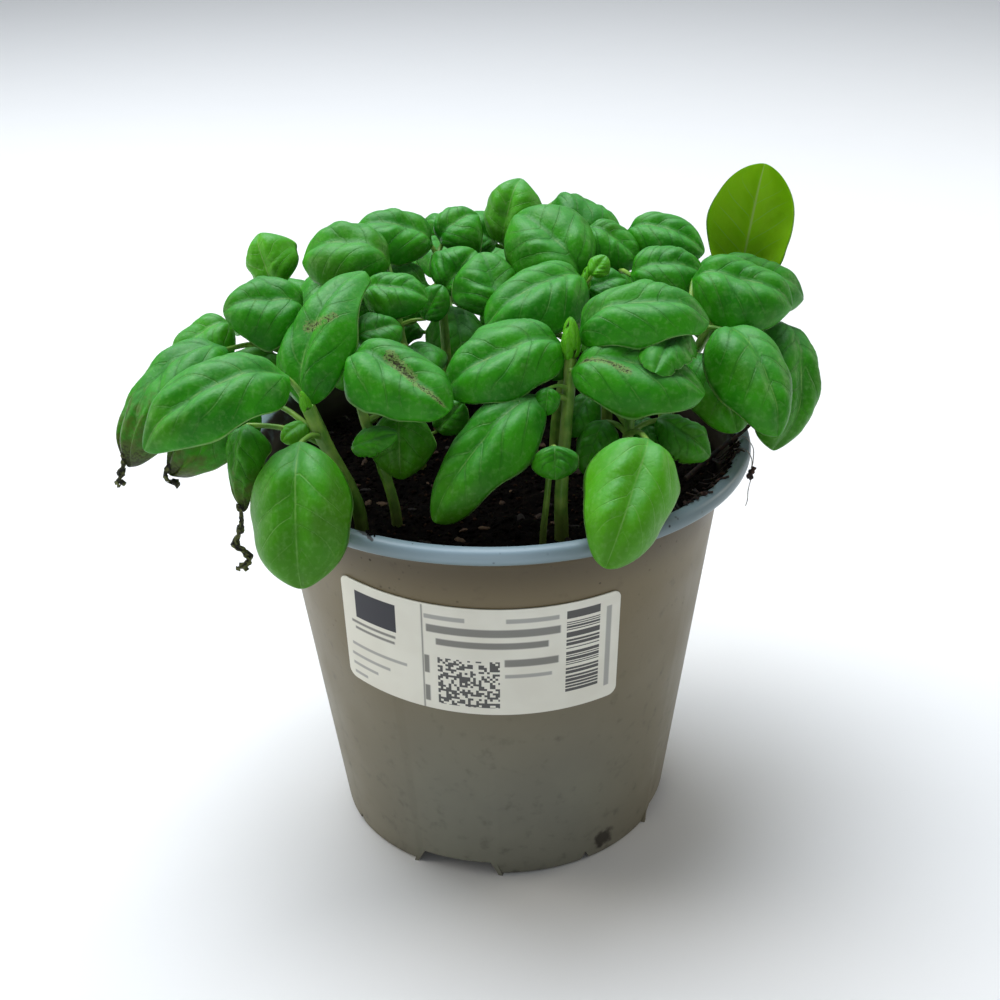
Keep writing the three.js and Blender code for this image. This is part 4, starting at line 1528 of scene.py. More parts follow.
SEEN_STEMS = [
    LeafyStem(
        "basil_stem_front_left", 1.9,
        ((-36, -36, 107), (-38, -37, 118), (-44, -40, 134), (-47, -41, 143)),
        [
            Leaf((-48.3, -50, 138), (-48.5, -70, 107), 33, 266, 32, 70, 60, tint=0.35, taper=-0.05),
            Leaf((-63, -39, 138), (-64.5, -50, 118.5), 18, 228, 20, 50, 110,
                 tail=LONG_TAIL, tint=0.2, taper=1.0),
            Leaf((-62, -28, 141), (-85, -38, 124), 24, 240, 35, 60, 70, tail=SHORT_TAIL, taper=0.5),
            Leaf((-51, -40, 151), (-86, -57, 140), 27, 262, 64, 90, lop=-0.1, taper=0.25),
            Leaf((-49, -35, 141), (-34, -8, 168), 25, 232, 42, 75, 45, lop=0.12, taper=0.2,
                 scars=(Scar((0.44, 0.1), (0.48, -0.2), 2.4),
                        Scar((0.5, -0.35), (0.53, -0.5), 1.8))),
            Leaf((-48, -38, 137), (-54, -43, 135), 9, 250, 60, 50, tint=0.8),
        ],
        (((-47, -41, 141), (-48, -42, 148), 1.5),),
    ),
    LeafyStem(
        "basil_stem_front_middle", 1.6,
        ((-27, -33, 107), (-29, -32, 118), (-35, -29, 138), (-37, -24, 151)),
        [
            Leaf((-36.5, -30, 152.3), (-11, -47, 144.5), 27, 285, 58, 55, 55,
                 scars=(Scar((0.38, 0.12), (0.62, -0.02), 2.8),
                        Scar((0.7, -0.1), (0.92, -0.12), 2.4))),
            Leaf((-25, -30, 137), (-25, -37, 120), 20, 268, 40, 60, tint=0.25),
            Leaf((-37, -40, 131), (-25, -44, 137), 9, 275, 45, 40, torn=0.8, tint=0.2),
            Leaf((-16, -22, 127), (-9, -24, 136), 12, 285, 45, 30),
            Leaf((-36, -20, 153), (-24, -14, 154), 15, 285, 55, 50),
        ],
    ),
    LeafyStem(
        "basil_stem_left", 1.7,
        ((-45, -10, 107), (-47, -10, 120), (-55, -7, 140), (-59, -3, 152)),
        [
            Leaf((-70, -17, 150), (-96, -36, 125), 28, 213, 55, 95, 60, tail=OUTER_TAIL, taper=0.3),
            Leaf((-70, -5, 152), (-86, -12, 144), 21, 235, 55, 50, tint=0.3),
            Leaf((-50, -8, 156), (-71, -14, 159), 29, 262, 60, 80, 60),
            Leaf((-58, -8, 144), (-73, -20, 141), 19, 262, 60, 50, tint=0.6),
            Leaf((-59, 14, 155), (-65, 20, 169), 23, 225, 40, 60, 80, tint=0.5),
        ],
        (((-59, -3, 150), (-60, -2, 157), 1.4),),
    ),
    LeafyStem(
        "basil_stem_centre_left", 1.6,
        ((-22, 2, 107), (-23, 2, 122), (-26, 3, 145), (-28, 4, 157)),
        [
            Leaf((-28, 8, 163), (-53, 12, 164), 31, 266, 68, 100, 60, tint=0.2),
            Leaf((-35, -4, 160), (-17, -8, 159), 19, 283, 60, 70, 60),
            Leaf((-24, -6, 144), (-16, -18, 143), 17, 285, 60, 50),
            Leaf((-19, 0, 150), (-14, 2, 159), 10, 270, 50, 30, 40),
            Leaf((-33, 4, 152), (-52, 2, 154), 17, 266, 60, 60, 55),
        ],
    ),
    LeafyStem(
        "basil_stem_back_left", 1.5,
        ((-14, 24, 107), (-14, 24, 122), (-15, 25, 145), (-16, 26, 158)),
        [
            Leaf((-17, 27, 162), (-39, 26, 168), 25, 270, 68, 80, 60),
            Leaf((-18, 20, 152), (-39, 15, 151), 24, 270, 60, 50, taper=0.4, lop=-0.1),
            Leaf((-15, 31, 161), (-4, 34, 169), 20, 290, 65, 80),
            Leaf((-14.5, 13.5, 153), (-5, 20, 163), 20.5, 300, 50, 40),
        ],
    ),
    LeafyStem(
        "basil_stem_centre", 1.7,
        ((16, 2, 107), (17, 2, 122), (21, 3, 143), (24, 5, 156)),
        [
            Leaf((24, 2, 160), (-3, -14, 154), 28, 254, 62, 65, lop=0.08),
            Leaf((24, 10, 157), (6, 26, 172), 32, 262, 56, 75, tint=0.15),
            Leaf((24, 8, 153), (36, 11, 157), 17, 290, 60, 50),
            Leaf((26, 4, 160), (30, 6, 165), 7, 290, 60, 30, 30, tint=0.6),
            Leaf((1, 4, 149), (-3.5, 16, 164), 24, 285, 40, 50, 60),
        ],
        (((24, 5, 154), (25, 6, 162), 1.4),),
    ),
    LeafyStem(
        "basil_stem_back_centre", 1.5,
        ((6, 38, 107), (6, 38, 124), (7, 40, 146), (8, 41, 160)),
        [
            Leaf((3, 36, 158), (8, 42, 177), 25, 252, 30, 70, 70, tint=0.4),
            Leaf((1, 44, 156), (-11, 45, 162), 20, 240, 50, 40, 40),
            Leaf((17, 46, 168), (38, 40, 160), 25, 60, 72, 60),
        ],
    ),
    LeafyStem(
        "basil_stem_back_right", 1.6,
        ((32, 22, 107), (32, 22, 122), (33, 24, 145), (34, 25, 158)),
        [
            Leaf((26, 27, 166), (41, 22, 157), 20, 300, 58, 50),
            Leaf((37, 10, 158), (58, 9, 158), 24, 270, 60, 80),
            Leaf((38, 36, 162), (60, 28, 158), 21, 275, 62, 80),
            Leaf((36, 18, 146), (50, 10, 145), 18, 290, 60, 50),
        ],
    ),
    LeafyStem(
        "basil_stem_right", 1.7,
        ((44, -8, 108), (45, -8, 122), (49, -7, 140), (52, -5, 151)),
        [
            Leaf((47, -18, 153), (39, -41, 151), 17, 272, 55, 40, 40, torn=1.6),
            Leaf((60, -10, 150), (72, -36, 130), 29, 298, 46, 75, 60, taper=0.25),
            Leaf((54, -8, 142), (63, -26, 127), 21, 290, 40, 40),
            Leaf((53, 3, 159), (80, -3, 153), 29, 278, 60, 70, lop=-0.08),
        ],
    ),
    LeafyStem(
        "basil_stem_far_right", 1.7,
        ((49, 16, 109), (51, 16, 122), (60, 15, 140), (64, 15, 150)),
        [
            Leaf((60, 12, 157), (86, 12, 150), 25, 285, 66, 70),
            Leaf((69, 23, 152), (74, 23, 185), 27, 80, 10, 30, 30, tint=1.0),
            Leaf((79, 10, 143.5), (75.5, -12.5, 114), 30, 325, 35, 80, 60),
        ],
    ),
    LeafyStem(
        "basil_stem_front_right", 1.8,
        ((16, -41, 107), (16, -40, 118), (18, -31, 138), (19, -27, 149)),
        [
            Leaf((10, -36, 143), (-17, -54, 117), 25, 238, 50, 55, 55),
            Leaf((17, -25, 152), (-14, -33, 143), 29, 262, 62, 80, taper=0.15, lop=-0.08),
            Leaf((19, -30, 147), (53, -36, 143), 27, 282, 68, 65,
                 scars=(Scar((0.12, 0.0), (0.42, -0.3), 2.2),)),
            Leaf((21, -22, 153), (55, -25, 158), 28, 276, 72, 100, lop=0.12),
            Leaf((18, -22, 149), (13, -28, 144), 9, 265, 50, 40),
            Leaf((13, -36, 145), (12, -40, 139), 8, 265, 50, 40),
        ],
        (((19, -27, 147), (19, -26, 160), 2.6),),
    ),
    LeafyStem(
        "basil_stem_front_low", 1.5,
        ((31, -35, 107), (31, -35, 116), (33, -34, 128), (34, -33, 137)),
        [
            Leaf((37, -48, 136), (25, -74, 114), 29, 272, 32, 55, 60, tint=0.55, taper=0.35),
            Leaf((28, -30, 133), (22, -38, 121), 14, 240, 40, 50),
            Leaf((25, -22, 137), (18, -31, 129), 12, 240, 40, 50),
            Leaf((41, -30, 133), (55, -34, 124), 15, 285, 50, 40, torn=0.8),
            Leaf((37, -26, 131), (40, -34, 127), 11, 290, 50, 40),
        ],
    ),
    LeafyStem(
        "basil_stem_rear_far_right", 1.5,
        ((43, 32, 107), (45, 34, 120), (51, 40, 136), (54, 42, 146)),
        [
            Leaf((60, 43, 147), (83, 50, 139), 24, 20, 66, 60, 55),
            Leaf((52, 50, 146), (57, 76, 136), 25, 80, 66, 70, 55),
            Leaf((57, 35, 133), (78, 33, 123), 19, 0, 66, 60, 55),
            Leaf((45, 46, 132), (38, 66, 125), 19, 110, 66, 60, 55),
            Leaf((56, 38, 147), (68, 28, 147), 14, 310, 66, 50),
        ],
    ),
    LeafyStem(
        "basil_seedling_front", 0.9,
        ((11, -46, 107), (12, -46, 118), (13, -45, 128), (14, -45, 133)),
        [Leaf((14, -47, 134), (14, -52, 127), 12, 265, 60, 30, 30)],
    ),
]


@dataclass
class EvenDraw:
    """A repeatable stream of numbers from 0 up to 1, the same as the solids' own."""

    state: int
    modulus: int = 4294967296

    def __call__(self) -> float:
        """Draw the next number."""
        self.state = (self.state * 1664525 + 1013904223) % self.modulus
        return self.state / self.modulus


@dataclass(frozen=True)
class RuledStem:
    """A stem at the back whose leaf pairs follow one rule, each pair turned by a quarter."""

    node: str
    seed: int
    foot: tuple[float, float]
    lean: tuple[float, float]
    top: float
    turn: float
    # Each pair: share of the height, blade length and stalk length.
    pairs: tuple[Triple, ...] = ((0.36, 20, 9), (0.56, 25, 9), (0.77, 28, 9), (0.97, 22, 6))

    def leafy_stem(self) -> LeafyStem:
        """Work out the stem by the rule.

        Returns:
            The stem with its leaves and bud.
        """
        draw = EvenDraw(self.seed)
        steps = ((0.0, SPROUT_Z), (0.1, 120), (0.6, (120 + self.top) / 2), (1.0, self.top))
        path = tuple(
            (self.foot[0] + share * self.lean[0], self.foot[1] + share * self.lean[1], z)
            for share, z in steps
        )
        stem = LeafyStem(self.node, 1.5, path, [])
        for i, (share, size, stalk) in enumerate(self.pairs):
            node = stem.point_at(SPROUT_Z + share * (self.top - SPROUT_Z))
            for half in (0, 180):
                azimuth = self.turn + 90 * i + half + 24 * (draw() - 0.5)
                length = size * (0.85 + 0.3 * draw())
                droop = -10 - 25 * draw()
                base = node + bearing(azimuth, 25) * stalk
                tip = base + bearing(azimuth, droop) * length
                width = length * (0.83 + 0.12 * draw())
                turned = azimuth + 40 * (draw() - 0.5)
                arch = 60 + 25 * draw()
                stem.leaves.append(Leaf(tuple(base), tuple(tip), width, turned, 66, arch, 55))
        x, y, z = path[3]
        stem.buds = (((x, y, z - 2), (x, y + 1, z + 6), 1.4),)
        return stem


RULED_STEMS = (
    RuledStem("basil_stem_rear_left", 1, (-37, 33), (-11, 8), 150, 0),
    RuledStem("basil_stem_rear_middle", 196, (-13, 50), (-3, 13), 152, 0),
    RuledStem("basil_stem_rear_right", 14, (22, 50), (6, 14), 142, 20),
)


# The pot, its soil and its label


def wall_radius(z: float) -> float:
    """Give the wall's outer radius at a height, both in millimetres."""
    return FOOT_RADIUS + WALL_SLOPE * z


def rounded(profile: Sequence[Triple], steps: int = 5) -> list[tuple[float, float]]:
    """Round the corners of a turned profile.

    Args:
        profile: Radius, height and corner radius of each corner, in millimetres.
        steps: The parts of each round corner.

    Returns:
        Radius and height of each point.
    """
    result = []
    for i, (radius, z, corner) in enumerate(profile):
        here = Vector((radius, z))
        if corner == 0 or i in (0, len(profile) - 1):
            result.append((radius, z))
            continue
        before = Vector(profile[i - 1][:2]) - here
        after = Vector(profile[i + 1][:2]) - here
        reach = min(corner, before.length * 0.45, after.length * 0.45)
        start = here + before.normalized() * reach
        end = here + after.normalized() * reach
        for k in range(steps + 1):
            t = k / steps
            result.append(tuple(start.lerp(here, t).lerp(here.lerp(end, t), t)))
    return result


def turned(
    shape: BMesh,
    profile: Sequence[tuple[float, float | Callable[[float, float], float]]],
    sides: int,
    falling: bool = False,
) -> None:
    """Span a skin from ring to ring about the pot's axis.

    Args:
        shape: The shape that gets the skin.
        profile: Radius of each ring, 0 at a pole, and its height or the rule that gives it.
        sides: The points of a ring.
        falling: Whether the faces run the other way round.
    """
    circle = [2 * math.pi * k / sides for k in range(sides)]
    rings = []
    for radius, height in profile:
        spots = [(radius * math.cos(turn), radius * math.sin(turn)) for turn in circle]
        ring = []
        for x, y in spots if radius else ((0, 0),):
            z = height(x, y) if callable(height) else height
            ring.append(shape.verts.new((x * MM, y * MM, z * MM)))
        rings.append(ring)
    for low, high in zip(rings, rings[1:]):
        for k in range(sides):
            n = (k + 1) % sides
            corners = [ring[i % len(ring)] for ring, i in ((low, k), (low, n), (high, n), (high, k))]
            if falling:
                corners[1:] = reversed(corners[1:])
            shape.faces.new(list(dict.fromkeys(corners)))


@dataclass(frozen=True)
class Channel:
    """A kind of drain channel under the floor, with the hole that opens into each, if any."""

    width: float
    height: float
    hole_radius: float
    azimuths: tuple[int, ...]


@dataclass
class Pot:
    """The thermoformed pot: drained foot, tapered wall, collar and rolled rim."""

    height: float = POT_HEIGHT
    rim_radius: float = RIM_RADIUS
    wall_thickness: float = WALL_THICKNESS
    floor_thickness: float = 1.2
    sides: int = 192
    tunnel_start: float = 31.0
    hole_offset: float = 8.0
    channels: tuple[Channel, ...] = (
        Channel(24, 4.5, 4, (73, 163, 253, 343)),
        Channel(3.2, 3, 0, (28, 118, 208, 298)),
    )
    finish: PotFinish = PotFinish()

    def shell(self) -> BMesh:
        """Turn the pot's closed profile round its axis.

        Returns:
            The shell, with faces outwards.
        """
        h, r = self.height, self.rim_radius
        profile = rounded(
            [
                (0, 0, 0),
                (FOOT_RADIUS - 0.1, 0, 0.9),
                (COLLAR_RADIUS, COLLAR_Z, 1.5),
                (COLLAR_RADIUS + 1.3, COLLAR_Z + 1.8, 1.5),
                (COLLAR_RADIUS + 2, h - 4.3, 0.7),
                (r - 0.6, h - 4.4, 0.9),
                (r, h - 2.6, 1.6),
                (r - 0.6, h - 0.5, 1.6),
                (r - 2.9, h, 1.6),
                (r - 4.6, h - 1.2, 1.5),
                (r - 6, h - 4.6, 1.5),
                (COLLAR_RADIUS + 0.3, COLLAR_Z + 3, 1.2),
                (COLLAR_RADIUS - self.wall_thickness, COLLAR_Z, 1.5),
                (wall_radius(3) - self.wall_thickness, 3, 1.2),
                (wall_radius(1) - self.wall_thickness - 1.4, self.floor_thickness, 0.8),
                (0, self.floor_thickness, 0),
            ]
        )
        shell = bmesh.new()
        turned(shell, profile, self.sides)
        bmesh.ops.recalc_face_normals(shell, faces=shell.faces)
        return shell

    def channel(self, kind: Channel, azimuth: float, margin: float, end: float) -> BMesh:
        """Make a drain channel as a solid that cuts, or joins if it has a margin.

        Args:
            kind: The kind of channel.
            azimuth: Where it runs out through the wall.
            margin: How far it is grown on all sides.
            end: Its outer radius in millimetres.

        Returns:
            The solid.
        """
        half, top = kind.width / 2 + margin, kind.height + margin
        slant = kind.height / 2
        low = 0.0 if margin else -2.0
        outline = [(-half, low), (half, low), (half, 0.01)]
        outline += [(half - slant, top), (slant - half, top), (-half, 0.01)]
        solid = bmesh.new()
        turn = Matrix.Rotation(math.radians(azimuth - 90), 4, "Z")
        rows = []
        for y in (self.tunnel_start - margin, end):
            rows.append([solid.verts.new(turn @ Vector((x, y, z)) * MM) for x, z in outline])
        for k in range(len(outline)):
            n = (k + 1) % len(outline)
            solid.faces.new((rows[0][k], rows[0][n], rows[1][n], rows[1][k]))
        solid.faces.new(rows[0])
        solid.faces.new(rows[1])
        bmesh.ops.recalc_face_normals(solid, faces=solid.faces)
        return solid

    def hole(self, kind: Channel, azimuth: float) -> BMesh:
        """Make the hole that opens into a channel as a solid that cuts.

        Args:
            kind: The kind of channel.
            azimuth: Where the channel runs.

        Returns:
            The solid.
        """
        solid = bmesh.new()
        at = bearing(azimuth, 0) * (self.tunnel_start + self.hole_offset)
        spot = Matrix.Translation(Vector((at.x, at.y, 6)) * MM)
        size = {"radius1": kind.hole_radius * MM, "radius2": kind.hole_radius * MM, "depth": 8 * MM}
        bmesh.ops.create_cone(solid, cap_ends=True, segments=32, matrix=spot, **size)
        return solid

    def build(self) -> Object:
        """Make the pot with its channels and holes.

        Returns:
            The piece that stands for the pot.
        """
        pot = set_out("pot_moulded", settled("pot", self.shell()))
        places = [(kind, azimuth) for kind in self.channels for azimuth in kind.azimuths]
        tools = []
        for place in places:
            tools.append((self.channel(*place, self.floor_thickness, 47.2), "UNION"))
        for place in places:
            tools.append((self.channel(*place, 0.0, 54.0), "DIFFERENCE"))
            if place[0].hole_radius:
                tools.append((self.hole(*place), "DIFFERENCE"))
        for solid, operation in tools:
            cut = pot.modifiers.new("drain", "BOOLEAN")
            cut.operation = operation
            cut.solver = "MANIFOLD"
            cut.object = set_out("drain", settled("drain", solid))
        depsgraph = bpy.context.evaluated_depsgraph_get()
        mesh = bpy.data.meshes.new_from_object(pot.evaluated_get(depsgraph), depsgraph=depsgraph)
        for cut in pot.modifiers:
            bpy.data.objects.remove(cut.object)
        pot.modifiers.clear()
        pot.data = mesh
        mesh.materials.clear()
        mesh.materials.append(self.finish.material())
        mesh.shade_smooth()
        mesh.set_sharp_from_angle(angle=math.radians(32))
        seat(pot, Part.POT, "pot")
        return pot


@dataclass(frozen=True)
class Crumbs:
    """How crumbs or chips lie on a surface: how many to a square metre, and sizes in mm."""

    density: float
    seed: int
    smallest: Triple
    largest: Triple
    roundness: int
    jag: float

    def strewn(self, ground: Mesh, tree: NodeTree, skin: Material) -> Mesh:
        """Strew them on a surface.

        Args:
            ground: The surface, which is used up.
            tree: The tree that strews.
            skin: Their material.

        Returns:
            The crumbs as one mesh.
        """
        values = {
            "Density": self.density,
            "Seed": self.seed,
            "Smallest": tuple(size * MM for size in self.smallest),
            "Largest": tuple(size * MM for size in self.largest),
            "Roundness": self.roundness,
            "Jag": self.jag * MM,
            "Skin": skin,
        }
        return grown(ground, tree, values)


def scatter_tree() -> NodeTree:
    """Make the tree that strews crumbs or chips on a surface.

    Returns:
        The geometry tree, with how many, how large, how flat and which material as inputs.
    """
    kinds = {"Ground": "Geometry", "Density": "Float", "Seed": "Int", "Smallest": "Vector"}
    kinds |= {"Largest": "Vector", "Roundness": "Int", "Jag": "Float", "Skin": "Material"}
    tree, given = open_tree("crumbs_on_ground", kinds)
    links = {"Mesh": given["Ground"], "Density": given["Density"], "Seed": given["Seed"]}
    kind = {"distribute_method": "RANDOM"}
    points = add_node(tree, "GeometryNodeDistributePointsOnFaces", links, **kind)
    links = {"Radius": 1.0, "Subdivisions": given["Roundness"]}
    lump = add_node(tree, "GeometryNodeMeshIcoSphere", links)
    # Each lies any way round, tipped by half a radian at most.
    kind = {"data_type": "FLOAT_VECTOR"}
    links = {"Min": (-0.5, -0.5, 0.0), "Max": (0.5, 0.5, 6.28), "Seed": 11}
    turn = add_node(tree, "FunctionNodeRandomValue", links, **kind)
    links = {"Min": given["Smallest"], "Max": given["Largest"], "Seed": 12}
    size = add_node(tree, "FunctionNodeRandomValue", links, **kind)
    links = {"Points": points.outputs["Points"], "Instance": lump.outputs["Mesh"]}
    links |= {"Rotation": turn.outputs[0], "Scale": size.outputs[0]}
    crumbs = add_node(tree, "GeometryNodeInstanceOnPoints", links)
    own = add_node(tree, "FunctionNodeRandomValue", {"Seed": 13}, data_type="FLOAT")
    value = next(output for output in own.outputs if output.enabled)
    links = {"Geometry": crumbs.outputs[0], "Name": "crumb", "Value": value}
    marked = add_node(tree, "GeometryNodeStoreNamedAttribute", links, domain="INSTANCE")
    real = add_node(tree, "GeometryNodeRealizeInstances", {"Geometry": marked.outputs[0]})
    spot = add_node(tree, "GeometryNodeInputPosition").outputs[0]
    # The jags are about 1.1 mm apart.
    links = {"Vector": spot, "Scale": 900.0, "Detail": 1.0}
    cloud = Heading(tree, add_node(tree, "ShaderNodeTexNoise", links).outputs["Color"])
    links = {0: cloud, 1: (0.5, 0.5, 0.5)}
    centred = add_node(tree, "ShaderNodeVectorMath", links, operation="SUBTRACT").outputs[0]
    push = Heading(tree, centred).scaled(Quantity(tree, given["Jag"]))
    links = {"Geometry": real.outputs[0], "Offset": push}
    jagged = add_node(tree, "GeometryNodeSetPosition", links)
    close_tree(tree, jagged.outputs[0], given["Skin"])
    return tree


@dataclass
class SoilBed:
    """The soil that fills the pot, heaped against the wall on the right, with crumbs and bark."""

    level: float = 105.0
    bottom: float = 6.6
    clearance: float = 0.3
    sides: int = 200
    ring_step: float = 1.0
    roughness: float = 1.1
    bank_height: float = 4.5
    crumbs: Crumbs = Crumbs(260000.0, 3, (0.3, 0.3, 0.2), (1.0, 0.9, 0.7), 1, 0.5)
    bark: Crumbs = Crumbs(9000.0, 5, (0.8, 0.5, 0.25), (3.2, 1.5, 0.7), 2, 1.0)
    soil_finish: SoilFinish = SoilFinish()
    bark_finish: BarkFinish = BarkFinish()

    def surface(self, x: float, y: float) -> float:
        """Give the height of the soil over a place.

        Args:
            x: To the right, in millimetres.
            y: Away from the viewer.

        Returns:
            The height in millimetres, with low waves, the bank at the wall and the lumps.
        """
        waves = 0.9 * math.sin(x * 0.21 + 1.3) * math.cos(y * 0.17)
        waves += 0.6 * math.sin(y * 0.33 + x * 0.1)
        bank = min(1.0, max(0.0, (x * 0.9 - y * 0.3 - 38) / 20))
        spot = Vector((x, y, 0.0))
        lumps = noise.fractal(spot * 0.28, 0.9, 2.1, 4) + 0.5 * noise.noise(spot * 0.9)
        return self.level + waves + self.bank_height * bank**2 + self.roughness * lumps

    def radius(self, z: float) -> float:
        """Give the filling's radius at a height."""
        return wall_radius(z) - WALL_THICKNESS - self.clearance

    def body(self, top_only: bool) -> Mesh:
        """Make the filling, or only its upper surface.

        Args:
            top_only: Whether the sides and the bottom are left out.

        Returns:
            The mesh.
        """
        bed = bmesh.new()
        reach = self.radius(self.level) - 0.3
        count = round(reach / self.ring_step)
        profile = [(reach * i / count, self.surface) for i in range(count + 1)]
        if not top_only:
            corner = self.radius(8)
            profile += [(self.radius(100), 100), (corner, 8), (corner - 2, self.bottom)]
            profile.append((0, self.bottom))
        turned(bed, profile, self.sides, falling=True)
        mesh = settled("soil_bed", bed)
        mesh.shade_smooth()
        return mesh

    def build(self) -> Object:
        """Make the soil with its crumbs and bark.

        Returns:
            The piece that stands for the soil.
        """
        skin = self.soil_finish.material()
        body = self.body(top_only=False)
        body.materials.append(skin)
        store(body, "crumb", np.zeros(len(body.vertices)))
        tree = scatter_tree()
        crumbs = self.crumbs.strewn(self.body(top_only=True), tree, skin)
        bark = self.bark.strewn(self.body(top_only=True), tree, self.bark_finish.material())
        piece = merged("soil_crumbly", [body, crumbs, bark])
        seat(piece, Part.SOIL, "soil")
        return piece


@dataclass
class Litter:
    """What lies over the rim on the right: fibres and crumbs of soil, a stick, a hanging thread."""

    seed: int = 5
    fibres: int = 26
    azimuths: tuple[float, float] = (-44.0, -4.0)
    stick: tuple[Triple, ...] = (
        (50, -22, 111.5), (60, -13, 115.8), (66, -9, 118.4), (71, -4, 120.5),
    )
    threads: tuple[tuple[Triple, ...], ...] = (
        ((63.5, -15.5, 117), (65.6, -16.2, 117.5), (67.2, -17, 116.8), (68.2, -17.6, 114.8),
         (68.3, -17.8, 112)),
        ((68.4, -17.8, 109.5), (67.6, -18.4, 106.2), (67.6, -18.2, 103), (67.2, -18, 101)),
        ((64.5, -12.5, 117.4), (66.4, -13.5, 119.8), (68.7, -15.5, 117.4), (68.7, -17, 114.2),
         (68.3, -17.8, 112)),
    )
    clump: tuple[Triple, ...] = (
        (69, -17.2, 112.4), (68.5, -17.7, 111.5), (67.6, -18.6, 110.6), (68.4, -17.8, 109.4),
    )
    thread_girth: float = 0.14
    crumbs: Crumbs = Crumbs(900000.0, 8, (0.25, 0.2, 0.2), (1.3, 0.6, 0.5), 1, 0.5)
    # Where crumbs lie on the rim: azimuths in degrees and radii in millimetres.
    patches: tuple[tuple[Rise, Rise], ...] = (
        ((-44.0, -4.0), (64.3, 66.2)),
        ((239.0, 243.5), (65.5, 68.0)),
        ((197.0, 200.0), (66.0, 68.5)),
    )
    fibre_finish: RootFinish = RootFinish()
    thread_finish: RootFinish = RootFinish("root_thread_pale", "#77706a", "#b5afa6")
    crumb_finish: SoilFinish = SoilFinish()

    def rim_height(self, radius: float) -> float:
        """Give the height of the rim's inner slope.

        Args:
            radius: How far out, in millimetres.

        Returns:
            The height in millimetres, that of the rim's foot farther in.
        """
        if radius > RIM_RADIUS - 2.9:
            return POT_HEIGHT
        drop = (RIM_RADIUS - 2.9 - radius) / 1.7
        return POT_HEIGHT - 1.2 * drop**2 if radius > RIM_RADIUS - 5.8 else POT_HEIGHT - 3.5

    def fibre_strands(self) -> list[Strand]:
        """Draw the fibres from the soil over the rim.

        Returns:
            Their lines, each at its own angle.
        """
        draw = EvenDraw(self.seed)
        low, high = self.azimuths
        strands = []
        for _ in range(self.fibres):
            azimuth = low + (high - low) * draw()
            drift = 16 * (draw() - 0.5)
            reach = 65.2 + 3.4 * draw()
            thick = 0.16 + 0.22 * draw()
            start = 57 + 4 * draw()
            points = []
            for share in (0.0, 0.35, 0.7, 1.0):
                radius = start + (reach - start) * share
                if radius < 63:
                    height = 111.0 + 0.3 * draw()
                else:
                    height = self.rim_height(radius) + 0.2 + 0.5 * draw()
                points.append(bearing(azimuth + drift * share, 0) * radius + Vector((0, 0, height)))
            line = curved(points, 0.8)
            strands.append(Strand(line, [thick] * len(line)))
        return strands

    def rim_patch(self, azimuths: Rise, radii: Rise, rows: int = 5, columns: int = 24) -> Mesh:
        """Make a strip of the rim's upper side for crumbs to lie on.

        Args:
            azimuths: From where to where it runs, in degrees.
            radii: Its inner and outer radius in millimetres.
            rows: Its faces across.
            columns: Its faces along.

        Returns:
            The strip.
        """
        strip = bmesh.new()
        grid = []
        for i in range(rows + 1):
            radius = radii[0] + (radii[1] - radii[0]) * i / rows
            row = []
            for k in range(columns + 1):
                azimuth = azimuths[0] + (azimuths[1] - azimuths[0]) * k / columns
                at = bearing(azimuth, 0) * radius
                row.append(strip.verts.new(Vector((at.x, at.y, self.rim_height(radius))) * MM))
            grid.append(row)
        for low, high in zip(grid, grid[1:]):
            for k in range(columns):
                strip.faces.new((low[k], high[k], high[k + 1], low[k + 1]))
        return settled("rim_strip", strip)

    def build(self, growth: Growth) -> Object:
        """Lay the litter.

        Args:
            growth: The shared trees.

        Returns:
            The piece that lies over the rim.
        """
        dark, pale = self.fibre_finish.material(), self.thread_finish.material()
        stick, clump = curved(self.stick, 0.8), curved(self.clump, 0.3)
        lines = [curved(thread, 0.7) for thread in self.threads]
        rods = [
            Strand(stick, [0.85 - 0.3 * i / len(stick) for i in range(len(stick))]),
            Strand(clump, [0.5 + 0.9 * abs(noise.noise(point * 1.4)) for point in clump]),
        ]
        threads = [Strand(line, [self.thread_girth] * len(line)) for line in lines]
        meshes = [
            growth.grow_tubes(rods, dark, 8, 0.1),
            growth.grow_tubes(self.fibre_strands(), dark, 6),
            growth.grow_tubes(threads, pale, 6),
        ]
        tree, skin = scatter_tree(), self.crumb_finish.material()
        meshes += [self.crumbs.strewn(self.rim_patch(*patch), tree, skin) for patch in self.patches]
        piece = merged("litter_on_rim", meshes)
        seat(piece, Part.SOIL)
        return piece


